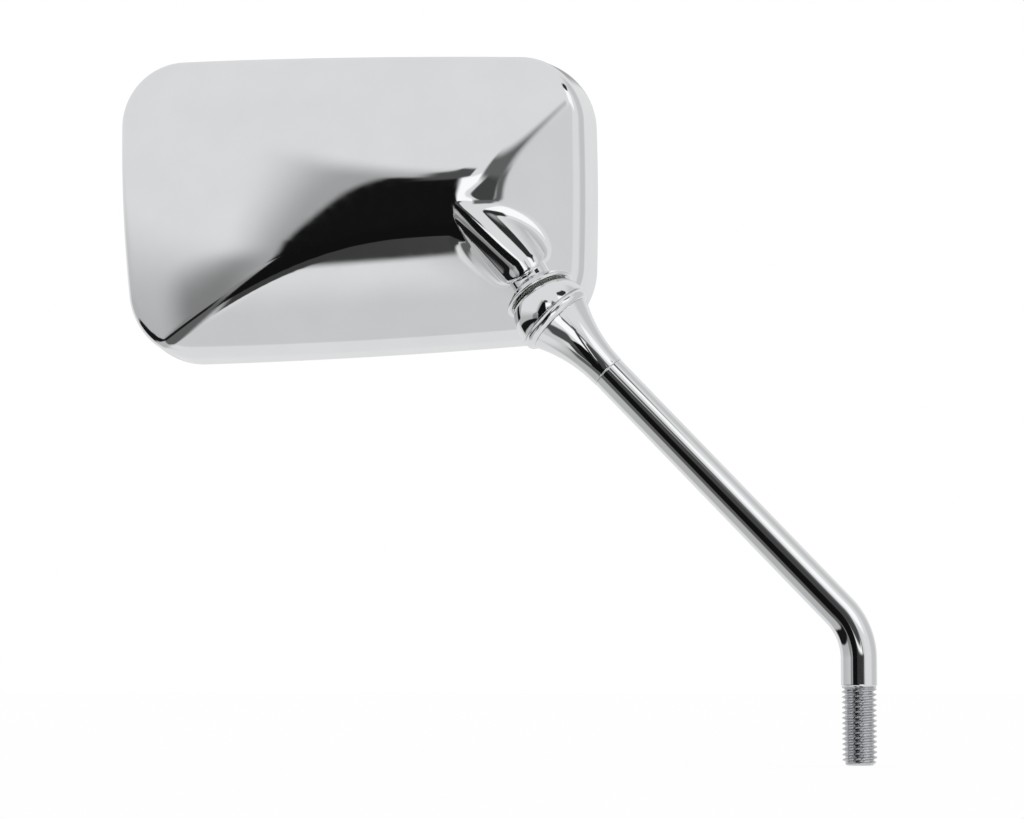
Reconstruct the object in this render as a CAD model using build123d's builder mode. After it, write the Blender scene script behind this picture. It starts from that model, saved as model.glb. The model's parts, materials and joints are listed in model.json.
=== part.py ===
"""Right-hand motorcycle mirror: a pressed head on a ball joint, carried by a bent stem.

The frame's origin is the shoulder of the stem's thread, with Z up the thread's axis.
The stem bends in the XZ plane, the mirror glass faces +Y and the crowned back faces -Y.
"""
import os
from math import asin, atan2, cos, degrees, exp, log, radians, sin, sqrt, tan

from build123d import *

os.makedirs("parts", exist_ok=True)

# Fits
running_clearance = 0.05
assembly_gap = 0.05

# Stem: one drawn rod, bent once, threaded at its foot and turned down at its top
stem_diameter = 10.4
thread_diameter = 10.0
thread_length = 22.5
thread_chamfer = 1.2
stem_upright = 16.2
stem_bend = 43.7
stem_bend_radius = 20.0
stem_arm = 106.1
tenon_diameter = 7.0
tenon_length = 10.0

# Trumpet sleeve on the top of the stem
sleeve_length = 20.9
sleeve_foot_diameter = 10.7
sleeve_mouth_diameter = 20.8
sleeve_pocket_depth = 2.0
spigot_wall = 1.3
spigot_length = 2.0

# Bead ring between the sleeve and the ball
bead_height = 3.0
bead_foot_diameter = 21.0
bead_top_diameter = 22.4
bead_diameter = 23.8

# Hollow pivot ball
ball_diameter = 23.6
ball_wall = 2.05
ball_rise = 3.2
swing = 20.0

# Cup on the head's neck, with its friction liner
neck_rise = 57.0
neck_dip = 11.0
liner_thickness = 0.6
liner_from = 34.0
liner_to = 44.0
cup_wall = 1.0
cup_lip_height = 7.4
cup_lip_thickness = 1.0
cup_lip_bulge = 0.6
cup_floor = 4.0
cup_spigot_diameter = 12.4
cup_spigot_wall = 1.5
cup_spigot_length = 14.0

# Tension bolt, its nut and its disc springs
bolt_diameter = 4.0
bolt_head_diameter = 7.0
bolt_head_height = 4.0
bolt_socket = 3.0
bolt_socket_depth = 2.0
bolt_tail = 1.5
nut_across_flats = 7.0
nut_height = 5.0
disc_count = 4
disc_diameter = 8.0
disc_bore = 4.2
disc_thickness = 0.4
disc_cone = 0.2
presser_thickness = 1.5

# Head: the outline of its mouth, placed from the ball's centre
neck_height = 30.0
head_left_top = 144.6
head_left_bottom = 138.8
head_right = 7.0
head_top_left = 87.0
head_top_right = 82.6
head_bottom_left = 9.4
head_bottom_right = 4.4
side_bow = 1.3
corner_radius = 21.0
shell_wall = 1.2
wall_draft = 6.0
shoulder_radius = 2.6
bezel_width = 2.4

# Crown of the head: a dome along a slanting ridge, two steeper sides, a scoop behind the ball
# and the turned-under lower facet
summit_left = 44.0
summit_up = 24.0
summit_rise = 1.0
ridge_rise = 24.0
ridge_radius = 240.0
dome_round = 30.0
corner_height = 8.4
top_edge_height = 11.0
top_crease_up = 44.0
right_edge_height = 16.5
right_crease_left = 22.0
scoop_depth = 16.0
scoop_radius = 8.0
crown_blend = 1.6
crown_pitch = 3.0
facet_foot_height = 12.0
facet_radius = 110.0

# Neck of the head, from its slanting end over the cup to its root in the crown
neck_start = 17.4
neck_diameter = 15.0
neck_wall = 1.2
neck_end_dip = -24.0
neck_root_reach = 46.0
neck_root_diameter = 17.0

# Glass in its rubber channel
glass_thickness = 2.6
gasket_width = 3.2
gasket_lip = 1.2
groove_depth = 1.8


def heading(rise, dip):
    """Direction up and to the left at a rise, dipping towards the glass."""
    level = cos(radians(dip))
    return Vector(-cos(radians(rise)) * level, sin(radians(dip)), sin(radians(rise)) * level)


# Places worked out from the sizes above
stem_direction = Vector(-sin(radians(stem_bend)), 0, cos(radians(stem_bend)))
bend_corner = Vector(0, 0, stem_upright)
sleeve_foot = bend_corner + stem_direction * stem_arm
ball_centre = sleeve_foot + stem_direction * (sleeve_length + ball_rise)
neck_direction = heading(neck_rise, neck_dip)
stem_axis = Axis(ball_centre, stem_direction)
neck_axis = Axis(ball_centre, neck_direction)
stem_side = Vector(0, 1, 0)
neck_side = Vector(sin(radians(neck_rise)), 0, cos(radians(neck_rise)))
stem_section = Plane(ball_centre, x_dir=stem_side, z_dir=stem_side.cross(stem_direction))
neck_section = Plane(ball_centre, x_dir=neck_side, z_dir=neck_side.cross(neck_direction))
rim_plane = Plane(
    (ball_centre.X, ball_centre.Y + neck_height, ball_centre.Z), x_dir=(1, 0, 0), z_dir=(0, -1, 0)
)

# Spheres about the ball's centre, from the inside out
ball_radius = ball_diameter / 2
cavity_radius = ball_radius - ball_wall
presser_radius = cavity_radius - running_clearance
liner_inside = ball_radius + running_clearance
liner_outside = liner_inside + liner_thickness
cup_radius = liner_outside + running_clearance

# Angles from the axis that let the bolt swing and keep its presser over the hole
hole_angle = swing + degrees(asin(bolt_diameter / 2 / cavity_radius)) + 1
presser_angle = hole_angle + swing

# Heights along the neck's axis, from the ball's centre
bolt_hole_radius = bolt_diameter / 2 + running_clearance
cup_top = sqrt(cup_radius**2 - bolt_hole_radius**2) + cup_floor
spring_seat = 0.7 * presser_radius
nut_top = spring_seat - disc_count * (disc_thickness + disc_cone)
bolt_end = nut_top - nut_height - bolt_tail

# Heights along the stem's axis, from the ball's centre
mouth_level = -ball_rise
foot_level = mouth_level - sleeve_length
ball_foot = mouth_level + bead_height
spigot_radius = cavity_radius - assembly_gap


def polar(radius, angle):
    """Point at a radius from the centre, at an angle from the upright axis."""
    return (radius * sin(radians(angle)), radius * cos(radians(angle)))


def soft_min(values, blend):
    """Smallest of the values, rounded where two of them meet."""
    return -blend * log(sum(exp(-value / blend) for value in values))


# Heights of the crown above the mouth, and the slopes that follow from them
summit_height = neck_height + summit_rise
top_slope = (summit_height - top_edge_height) / (head_top_left - top_crease_up)
right_slope = (summit_height - right_edge_height) / (head_right + right_crease_left)
scoop_floor = neck_height - scoop_depth


def dome_falls(x, z):
    """Fall of the dome along its ridge, and how far its side has turned, at a place from the ball's centre."""
    slant = radians(ridge_rise)
    along = (x + summit_left) * cos(slant) + (z - summit_up) * sin(slant)
    across = (z - summit_up) * cos(slant) - (x + summit_left) * sin(slant)
    end_fall = min(along, 0) ** 2 / (2 * ridge_radius)
    side_turn = sqrt(max(across, 0) ** 2 + dome_round**2) - dome_round
    return end_fall, side_turn


corner_end_fall, corner_side_turn = dome_falls(-head_left_top, head_top_left)
dome_slope = sqrt((summit_height - corner_height) ** 2 - corner_end_fall**2) / corner_side_turn


def crown_height(x, z):
    """Height of the head's back above its mouth, at a place from the ball's centre."""
    end_fall, side_turn = dome_falls(x, z)
    dome = summit_height - sqrt(end_fall**2 + (dome_slope * side_turn) ** 2)
    top = top_edge_height + top_slope * (head_top_left - z)
    right = right_edge_height + right_slope * (head_right - x)
    scoop = scoop_floor + (x**2 + z**2) / (2 * scoop_radius)
    return soft_min([dome, top, right, scoop], crown_blend)


def crown_face(drop):
    """Smooth face of the crown, lowered by a drop."""
    margin = crown_pitch
    columns = round((head_left_top + head_right + 2 * margin) / crown_pitch)
    rows = round((head_top_left + head_bottom_left + 2 * margin) / crown_pitch)
    grid = []
    for column in range(columns + 1):
        x = -head_left_top - margin + column * crown_pitch
        heights = []
        for row in range(rows + 1):
            z = -head_bottom_left - margin + row * crown_pitch
            heights.append(rim_plane.from_local_coords(Vector(x, z, crown_height(x, z) - drop)))
        grid.append(heights)
    return Face.make_surface_from_array_of_points(grid, min_deg=3)


def mouth_outline(inset):
    """Outline of the head's mouth as a sketch, drawn in by an inset."""
    top_left = (-head_left_top, head_top_left)
    top_right = (head_right, head_top_right)
    bottom_right = (head_right, -head_bottom_right)
    bottom_left = (-head_left_bottom, -head_bottom_left)
    with BuildSketch(mode=Mode.PRIVATE) as outline:
        with BuildLine():
            SagittaArc(top_left, top_right, side_bow)
            SagittaArc(top_right, bottom_right, side_bow)
            SagittaArc(bottom_right, bottom_left, side_bow)
            SagittaArc(bottom_left, top_left, side_bow)
        make_face()
        fillet(outline.vertices(), radius=corner_radius)
        if inset > 0:
            offset(amount=-inset, mode=Mode.REPLACE)
    return outline.sketch


# Stem rod
with BuildPart() as stem_rod:
    with BuildLine():
        FilletPolyline((0, 0, 0), bend_corner, sleeve_foot, radius=stem_bend_radius)
    with BuildSketch(Plane.XY):
        Circle(stem_diameter / 2)
    sweep()
    with BuildSketch(Plane.XY):
        Circle(thread_diameter / 2)
    extrude(amount=-thread_length)
    chamfer(stem_rod.edges().sort_by(Axis.Z)[0], length=thread_chamfer)
    with BuildSketch(Plane(sleeve_foot, x_dir=stem_side, z_dir=stem_direction)):
        Circle(tenon_diameter / 2)
    extrude(amount=tenon_length)
stem_rod.part.label = "stem_rod"
export_step(stem_rod.part, "parts/stem_rod.step")

# Trumpet sleeve
socket_radius = tenon_diameter / 2 + assembly_gap
socket_top = foot_level + tenon_length + assembly_gap
pocket_radius = spigot_radius - spigot_wall
pocket_floor = mouth_level - sleeve_pocket_depth
with BuildPart() as trumpet_sleeve:
    with BuildSketch(stem_section):
        with BuildLine():
            Line((socket_radius, foot_level), (sleeve_foot_diameter / 2, foot_level))
            TangentArc(
                (sleeve_foot_diameter / 2, foot_level), (sleeve_mouth_diameter / 2, mouth_level), tangent=(0, 1)
            )
            Polyline(
                (sleeve_mouth_diameter / 2, mouth_level),
                (spigot_radius, mouth_level),
                (spigot_radius, mouth_level + spigot_length),
                (pocket_radius, mouth_level + spigot_length),
                (pocket_radius, pocket_floor),
                (0, pocket_floor),
                (0, socket_top),
                (socket_radius, socket_top),
                (socket_radius, foot_level),
            )
        make_face()
    revolve(axis=stem_axis)
trumpet_sleeve.part.label = "trumpet_sleeve"
export_step(trumpet_sleeve.part, "parts/trumpet_sleeve.step")

# Bead ring
with BuildPart() as bead_ring:
    with BuildSketch(stem_section):
        with BuildLine():
            Line((cavity_radius, mouth_level), (bead_foot_diameter / 2, mouth_level))
            ThreePointArc(
                (bead_foot_diameter / 2, mouth_level),
                (bead_diameter / 2, mouth_level + bead_height / 2),
                (bead_top_diameter / 2, ball_foot),
            )
            Polyline(
                (bead_top_diameter / 2, ball_foot), (cavity_radius, ball_foot), (cavity_radius, mouth_level)
            )
        make_face()
    revolve(axis=stem_axis)
bead_ring.part.label = "bead_ring"
export_step(bead_ring.part, "parts/bead_ring.step")

# Pivot ball
ball_edge = sqrt(ball_radius**2 - ball_foot**2)
with BuildPart() as pivot_ball:
    with BuildSketch(stem_section):
        with BuildLine():
            ThreePointArc(polar(ball_radius, hole_angle), polar(ball_radius, 65), (ball_edge, ball_foot))
            Polyline((ball_edge, ball_foot), (cavity_radius, ball_foot), (cavity_radius, 0))
            ThreePointArc((cavity_radius, 0), polar(cavity_radius, 65), polar(cavity_radius, hole_angle))
            Line(polar(cavity_radius, hole_angle), polar(ball_radius, hole_angle))
        make_face()
    revolve(axis=stem_axis)
pivot_ball.part.label = "pivot_ball"
export_step(pivot_ball.part, "parts/pivot_ball.step")

# Friction liner
liner_middle = (liner_from + liner_to) / 2
with BuildPart() as friction_liner:
    with BuildSketch(neck_section):
        with BuildLine():
            ThreePointArc(
                polar(liner_inside, liner_from), polar(liner_inside, liner_middle), polar(liner_inside, liner_to)
            )
            Line(polar(liner_inside, liner_to), polar(liner_outside, liner_to))
            ThreePointArc(
                polar(liner_outside, liner_to), polar(liner_outside, liner_middle), polar(liner_outside, liner_from)
            )
            Line(polar(liner_outside, liner_from), polar(liner_inside, liner_from))
        make_face()
    revolve(axis=neck_axis)
friction_liner.part.label = "friction_liner"
export_step(friction_liner.part, "parts/friction_liner.step")

# Presser washer inside the ball
presser_inside = presser_radius - presser_thickness
presser_seat = sqrt(presser_inside**2 - spring_seat**2)
with BuildPart() as presser_washer:
    with BuildSketch(neck_section):
        with BuildLine():
            presser_crown = (bolt_hole_radius, sqrt(presser_radius**2 - bolt_hole_radius**2))
            ThreePointArc(presser_crown, polar(presser_radius, 40), polar(presser_radius, presser_angle))
            Line(polar(presser_radius, presser_angle), polar(presser_inside, presser_angle))
            ThreePointArc(
                polar(presser_inside, presser_angle),
                polar(presser_inside, (presser_angle + 45) / 2),
                (presser_seat, spring_seat),
            )
            Polyline((presser_seat, spring_seat), (bolt_hole_radius, spring_seat), presser_crown)
        make_face()
    revolve(axis=neck_axis)
presser_washer.part.label = "presser_washer"
export_step(presser_washer.part, "parts/presser_washer.step")

# Ball cup
cup_crown = (bolt_hole_radius, sqrt(cup_radius**2 - bolt_hole_radius**2))
cup_mouth = (sqrt(cup_radius**2 - cup_lip_height**2), cup_lip_height)
dome_radius = cup_radius + cup_wall
lip_top = cup_lip_height + cup_lip_thickness
lip_radius = sqrt(dome_radius**2 - lip_top**2)
spigot_outside = cup_spigot_diameter / 2
spigot_inside = spigot_outside - cup_spigot_wall
dome_angle = degrees(asin(spigot_outside / dome_radius))
lip_angle = degrees(asin(lip_radius / dome_radius))
dome_end = polar(dome_radius, dome_angle)
spigot_end = dome_end[1] + cup_spigot_length
with BuildPart() as ball_cup:
    with BuildSketch(neck_section):
        with BuildLine():
            ThreePointArc(cup_crown, polar(cup_radius, lip_angle / 2), cup_mouth)
            Line(cup_mouth, (lip_radius, cup_lip_height))
            ThreePointArc(
                (lip_radius, cup_lip_height),
                (lip_radius + cup_lip_bulge, cup_lip_height + cup_lip_thickness / 2),
                (lip_radius, lip_top),
            )
            ThreePointArc((lip_radius, lip_top), polar(dome_radius, (lip_angle + dome_angle) / 2), dome_end)
            Polyline(
                dome_end,
                (spigot_outside, spigot_end),
                (spigot_inside, spigot_end),
                (spigot_inside, cup_top),
                (bolt_hole_radius, cup_top),
                cup_crown,
            )
        make_face()
    revolve(axis=neck_axis)
ball_cup.part.label = "ball_cup"
export_step(ball_cup.part, "parts/ball_cup.step")

# Tension bolt
head_seat = Plane(ball_centre + neck_direction * cup_top, x_dir=neck_side, z_dir=neck_direction)
bolt_tip = Plane(ball_centre + neck_direction * bolt_end, x_dir=neck_side, z_dir=neck_direction)
with BuildPart() as tension_bolt:
    with BuildSketch(head_seat):
        Circle(bolt_head_diameter / 2)
    extrude(amount=bolt_head_height)
    with BuildSketch(bolt_tip):
        Circle(bolt_diameter / 2)
    extrude(amount=cup_top - bolt_end)
    with BuildSketch(head_seat.offset(bolt_head_height)):
        RegularPolygon(bolt_socket / 2, 6, major_radius=False)
    extrude(amount=-bolt_socket_depth, mode=Mode.SUBTRACT)
tension_bolt.part.label = "tension_bolt"
export_step(tension_bolt.part, "parts/tension_bolt.step")

# Disc springs, stacked mouth to mouth
for disc in range(disc_count):
    disc_top = spring_seat - disc * (disc_thickness + disc_cone)
    inner_drop = disc_cone * (disc % 2)
    outer_drop = disc_cone - inner_drop
    with BuildPart() as disc_spring:
        with BuildSketch(neck_section):
            with BuildLine():
                Polyline(
                    (disc_bore / 2, disc_top - inner_drop),
                    (disc_diameter / 2, disc_top - outer_drop),
                    (disc_diameter / 2, disc_top - outer_drop - disc_thickness),
                    (disc_bore / 2, disc_top - inner_drop - disc_thickness),
                    close=True,
                )
            make_face()
        revolve(axis=neck_axis)
    disc_spring.part.label = f"disc_spring_{disc + 1}"
    export_step(disc_spring.part, f"parts/disc_spring_{disc + 1}.step")

# Lock nut
nut_plane = Plane(ball_centre + neck_direction * nut_top, x_dir=neck_side, z_dir=neck_direction)
with BuildPart() as lock_nut:
    with BuildSketch(nut_plane):
        RegularPolygon(nut_across_flats / 2, 6, major_radius=False)
        Circle(bolt_diameter / 2 + assembly_gap, mode=Mode.SUBTRACT)
    extrude(amount=-nut_height)
lock_nut.part.label = "lock_nut"
export_step(lock_nut.part, "parts/lock_nut.step")

# Hollow of the head shell
facet_slant = atan2(head_bottom_left - head_bottom_right, head_left_bottom + head_right)
facet_section = Plane(
    rim_plane.from_local_coords(Vector(-head_left_bottom, -head_bottom_left, 0)),
    x_dir=(-sin(facet_slant), 0, cos(facet_slant)),
    z_dir=(cos(facet_slant), 0, sin(facet_slant)),
)
facet_foot = Vector(0, facet_foot_height)
facet_crest = Vector(head_bottom_left + summit_up, summit_height)
facet_chord = facet_crest - facet_foot
facet_bow = sqrt(facet_radius**2 - facet_chord.length**2 / 4)
facet_centre = (facet_foot + facet_crest) / 2 + Vector(facet_chord.Y, -facet_chord.X).normalized() * facet_bow
facet_length = 2 * (head_left_top + head_right)
body_depth = 2 * neck_height
crown_reach = (0, 1, 0)
neck_end = ball_centre + neck_direction * neck_start
neck_root = ball_centre + neck_direction * neck_root_reach
end_direction = heading(neck_rise, neck_end_dip)
end_stretch = 1 / neck_direction.dot(end_direction)
end_plane = Plane(neck_end, x_dir=neck_side, z_dir=end_direction)
root_plane = Plane(neck_root, x_dir=neck_side, z_dir=neck_direction)
spigot_hole = spigot_outside + assembly_gap
with BuildPart() as shell_hollow:
    with BuildSketch(rim_plane.offset(shell_wall)):
        add(mouth_outline(shell_wall + shell_wall * tan(radians(wall_draft))))
    extrude(amount=body_depth, taper=wall_draft)
    extrude(to_extrude=crown_face(shell_wall), amount=body_depth, dir=crown_reach, mode=Mode.INTERSECT)
    with BuildSketch(facet_section):
        with Locations(facet_centre):
            Circle(facet_radius - shell_wall)
    extrude(amount=facet_length, both=True, mode=Mode.INTERSECT)
    with BuildSketch(rim_plane):
        add(mouth_outline(shell_wall + bezel_width))
    extrude(amount=2 * shell_wall)
    with BuildSketch(Plane(ball_centre, x_dir=neck_side, z_dir=neck_direction)):
        Circle(spigot_hole)
    extrude(amount=spigot_end + assembly_gap)
    with BuildSketch(end_plane):
        Ellipse(neck_diameter / 2 - neck_wall, (neck_diameter / 2 - neck_wall) * end_stretch)
    with BuildSketch(root_plane):
        Circle(neck_root_diameter / 2 - neck_wall)
    loft()

# Head shell
with BuildPart() as head_shell:
    with BuildSketch(rim_plane):
        add(mouth_outline(0))
    extrude(amount=body_depth, taper=wall_draft)
    extrude(to_extrude=crown_face(0), amount=body_depth, dir=crown_reach, mode=Mode.INTERSECT)
    with BuildSketch(facet_section):
        with Locations(facet_centre):
            Circle(facet_radius)
    extrude(amount=facet_length, both=True, mode=Mode.INTERSECT)
    crown = head_shell.faces().filter_by(GeomType.BSPLINE).sort_by(SortBy.AREA)[-1]
    facet = head_shell.faces().filter_by(GeomType.CYLINDER).sort_by(SortBy.AREA)[-1]
    crease = [edge for edge in crown.edges() if any(edge.is_same(other) for other in facet.edges())]
    around = crown.edges() + facet.edges()
    shoulder = [edge for edge in around if not any(edge.is_same(other) for other in crease)]
    fillet(shoulder, radius=shoulder_radius)
    with BuildSketch(end_plane):
        Ellipse(neck_diameter / 2, neck_diameter / 2 * end_stretch)
    with BuildSketch(root_plane):
        Circle(neck_root_diameter / 2)
    loft()
    add(shell_hollow.part, mode=Mode.SUBTRACT)
head_shell.part.label = "head_shell"
export_step(head_shell.part, "parts/head_shell.step")

# Glass gasket
gasket_front = shell_wall + assembly_gap
gasket_inset = shell_wall + assembly_gap
gasket_depth = 2 * gasket_lip + glass_thickness + 2 * assembly_gap
groove_front = gasket_front + gasket_lip
glass_inset = gasket_inset + gasket_width - groove_depth
with BuildPart() as glass_gasket:
    with BuildSketch(rim_plane.offset(gasket_front)):
        add(mouth_outline(gasket_inset + gasket_front * tan(radians(wall_draft))))
    extrude(amount=gasket_depth, taper=wall_draft)
    with BuildSketch(rim_plane.offset(gasket_front)):
        add(mouth_outline(gasket_inset + gasket_width))
    extrude(amount=gasket_depth, mode=Mode.SUBTRACT)
    with BuildSketch(rim_plane.offset(groove_front)):
        add(mouth_outline(glass_inset))
    extrude(amount=glass_thickness + 2 * assembly_gap, mode=Mode.SUBTRACT)
glass_gasket.part.label = "glass_gasket"
export_step(glass_gasket.part, "parts/glass_gasket.step")

# Mirror glass
with BuildPart() as mirror_glass:
    with BuildSketch(rim_plane.offset(groove_front + assembly_gap)):
        add(mouth_outline(glass_inset + assembly_gap))
    extrude(amount=glass_thickness)
mirror_glass.part.label = "mirror_glass"
export_step(mirror_glass.part, "parts/mirror_glass.step")
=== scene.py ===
"""Looks of a right-hand motorcycle mirror: chromed head, ball joint, bent stem, glass and studio.

Sizes are in millimetres until a mesh is made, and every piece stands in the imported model's own frame.
"""
import json
import logging
import math
from collections.abc import Callable
from dataclasses import dataclass
from enum import Enum

import bpy
import numpy as np
from mathutils import Matrix, Vector


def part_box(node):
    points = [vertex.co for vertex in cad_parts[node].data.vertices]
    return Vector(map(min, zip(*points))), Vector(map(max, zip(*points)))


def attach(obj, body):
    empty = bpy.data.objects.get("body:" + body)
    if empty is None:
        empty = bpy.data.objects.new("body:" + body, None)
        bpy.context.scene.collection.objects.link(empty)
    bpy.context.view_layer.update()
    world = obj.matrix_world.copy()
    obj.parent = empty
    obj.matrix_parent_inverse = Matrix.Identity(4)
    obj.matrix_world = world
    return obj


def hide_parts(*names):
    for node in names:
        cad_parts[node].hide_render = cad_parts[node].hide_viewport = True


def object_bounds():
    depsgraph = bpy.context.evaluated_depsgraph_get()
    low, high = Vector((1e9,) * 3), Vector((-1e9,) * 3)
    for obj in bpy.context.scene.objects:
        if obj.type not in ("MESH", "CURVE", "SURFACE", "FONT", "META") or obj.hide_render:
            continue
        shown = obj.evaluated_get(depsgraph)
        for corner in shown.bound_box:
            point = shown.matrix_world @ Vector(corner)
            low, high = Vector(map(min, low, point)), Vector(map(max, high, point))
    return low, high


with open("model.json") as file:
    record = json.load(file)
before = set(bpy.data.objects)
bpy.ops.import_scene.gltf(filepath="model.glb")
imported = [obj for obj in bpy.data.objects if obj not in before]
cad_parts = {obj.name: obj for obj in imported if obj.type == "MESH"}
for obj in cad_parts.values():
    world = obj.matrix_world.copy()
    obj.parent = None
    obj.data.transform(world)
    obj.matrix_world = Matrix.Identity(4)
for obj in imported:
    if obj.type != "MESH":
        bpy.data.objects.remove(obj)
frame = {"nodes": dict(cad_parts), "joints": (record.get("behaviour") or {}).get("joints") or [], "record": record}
cad_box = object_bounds()

log = logging.getLogger("mirror")

MM = 0.001
WHITE = (1.0, 1.0, 1.0, 1.0)
# A noise mostly stays between these two values.
NOISE_RANGE = (0.3, 0.7)
# The uneven gloss of a finish is this much finer than its relief, and has this many layers.
RUB_FINENESS = 3.0
RUB_DETAIL = 5.0
# A corner that turns by less than this, in degrees, isn't rounded.
PLAIN_TURN = 25.0
# A rounding takes up no more than one part in so many of a side.
CORNER_PART = 2.2
# A smaller radius than this, in mm, lies on the axis.
ON_AXIS = 1e-6
# Edges of turned pieces stay sharp from this angle, in degrees.
TURNED_CREASE = 40.0


class Body(Enum):
    """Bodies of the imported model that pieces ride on."""

    STEM = "stem"
    HEAD = "head"


class Slot(Enum):
    """Material slots of the record."""

    SHELL = "chrome_shell"
    FITTINGS = "chrome_fittings"
    STEM = "chrome_stem"
    MIRROR = "mirror"
    RUBBER = "rubber"
    NYLON = "nylon"
    SPRING = "spring_steel"
    ZINC = "zinc_steel"


class NodeDesk:
    """Adds and links the nodes of one tree."""

    def __init__(self, tree: bpy.types.NodeTree) -> None:
        """Keeps the tree that the nodes go into.

        Args:
            tree: A material's or a world's node tree.
        """
        self.tree = tree

    def add(self, kind: str, **settings: object) -> bpy.types.Node:
        """Adds a node.

        Args:
            kind: The node's type name, without its ShaderNode prefix.
            **settings: Properties to set on the node.

        Returns:
            The new node.
        """
        node = self.tree.nodes.new("ShaderNode" + kind)
        for name, value in settings.items():
            setattr(node, name, value)
        return node

    def feed(self, socket: bpy.types.NodeSocket, value: object) -> None:
        """Links a socket to another, or sets its own value.

        Args:
            socket: The input to feed.
            value: An output socket, a number or a vector.
        """
        if isinstance(value, bpy.types.NodeSocket):
            self.tree.links.new(value, socket)
        else:
            socket.default_value = value

    def fill(self, node: bpy.types.Node, inputs: dict[str, object]) -> None:
        """Feeds several inputs of a node.

        Args:
            node: The node to feed.
            inputs: A value or an output socket for each input's name.
        """
        for name, value in inputs.items():
            self.feed(node.inputs[name], value)

    def math(self, operation: str, *values: object) -> bpy.types.NodeSocket:
        """Adds a math node.

        Args:
            operation: The math node's operation.
            *values: Its inputs in order, numbers or sockets.

        Returns:
            The result's socket.
        """
        node = self.add("Math", operation=operation)
        for socket, value in zip(node.inputs, values):
            self.feed(socket, value)
        return node.outputs[0]

    def dot(self, vector: bpy.types.NodeSocket, along: Vector) -> bpy.types.NodeSocket:
        """Measures a vector along a direction.

        Args:
            vector: The vector's socket.
            along: A fixed direction.

        Returns:
            The socket of the length along it.
        """
        node = self.add("VectorMath", operation="DOT_PRODUCT")
        self.feed(node.inputs[0], vector)
        self.feed(node.inputs[1], along)
        return node.outputs["Value"]

    def step(self, value: bpy.types.NodeSocket, start: float, end: float) -> bpy.types.NodeSocket:
        """Rises smoothly from 0 to 1 between two values.

        Args:
            value: The socket that is tested.
            start: Where the rise starts.
            end: Where it ends, which may be the lower of the two.

        Returns:
            The rise's socket.
        """
        node = self.add("MapRange", interpolation_type="SMOOTHSTEP")
        self.fill(node, {"Value": value, "From Min": start, "From Max": end})
        return node.outputs["Result"]

    def spread(self, value: bpy.types.NodeSocket, low: float, high: float) -> bpy.types.NodeSocket:
        """Maps the usual range of a noise to a range of values.

        Args:
            value: The noise's socket.
            low: The value at the noise's low end.
            high: The value at its high end.

        Returns:
            The mapped socket.
        """
        node = self.add("MapRange")
        self.fill(node, {"Value": value, "From Min": NOISE_RANGE[0], "From Max": NOISE_RANGE[1]})
        self.fill(node, {"To Min": low, "To Max": high})
        return node.outputs["Result"]

    def noise(
        self, vector: bpy.types.NodeSocket, size: float, detail: float = 3.0
    ) -> bpy.types.NodeSocket:
        """Adds a noise whose features have a real size.

        Args:
            vector: The coordinates' socket, in metres.
            size: The size of the features, in millimetres.
            detail: How many finer layers it has.

        Returns:
            The noise's socket, about 0.5 in the mean.
        """
        node = self.add("TexNoise", noise_dimensions="3D")
        self.fill(node, {"Vector": vector, "Scale": 1 / (size * MM), "Detail": detail})
        return node.outputs["Fac"]

    def stretch(
        self, vector: bpy.types.NodeSocket, scale: tuple[float, float, float]
    ) -> bpy.types.NodeSocket:
        """Scales coordinates, so that a pattern comes out drawn along an axis.

        Args:
            vector: The coordinates' socket.
            scale: The factor along each axis.

        Returns:
            The scaled socket.
        """
        node = self.add("Mapping")
        self.fill(node, {"Vector": vector, "Scale": scale})
        return node.outputs["Vector"]

    def mix(self, share: object, first: bpy.types.Node, second: bpy.types.Node) -> bpy.types.NodeSocket:
        """Mixes two shaders.

        Args:
            share: How much of the second shows, a number or a socket.
            first: The first shader's node.
            second: The second shader's node.

        Returns:
            The mixed shader's socket.
        """
        node = self.add("MixShader")
        for socket, value in zip(node.inputs, (share, first.outputs[0], second.outputs[0])):
            self.feed(socket, value)
        return node.outputs[0]


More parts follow.
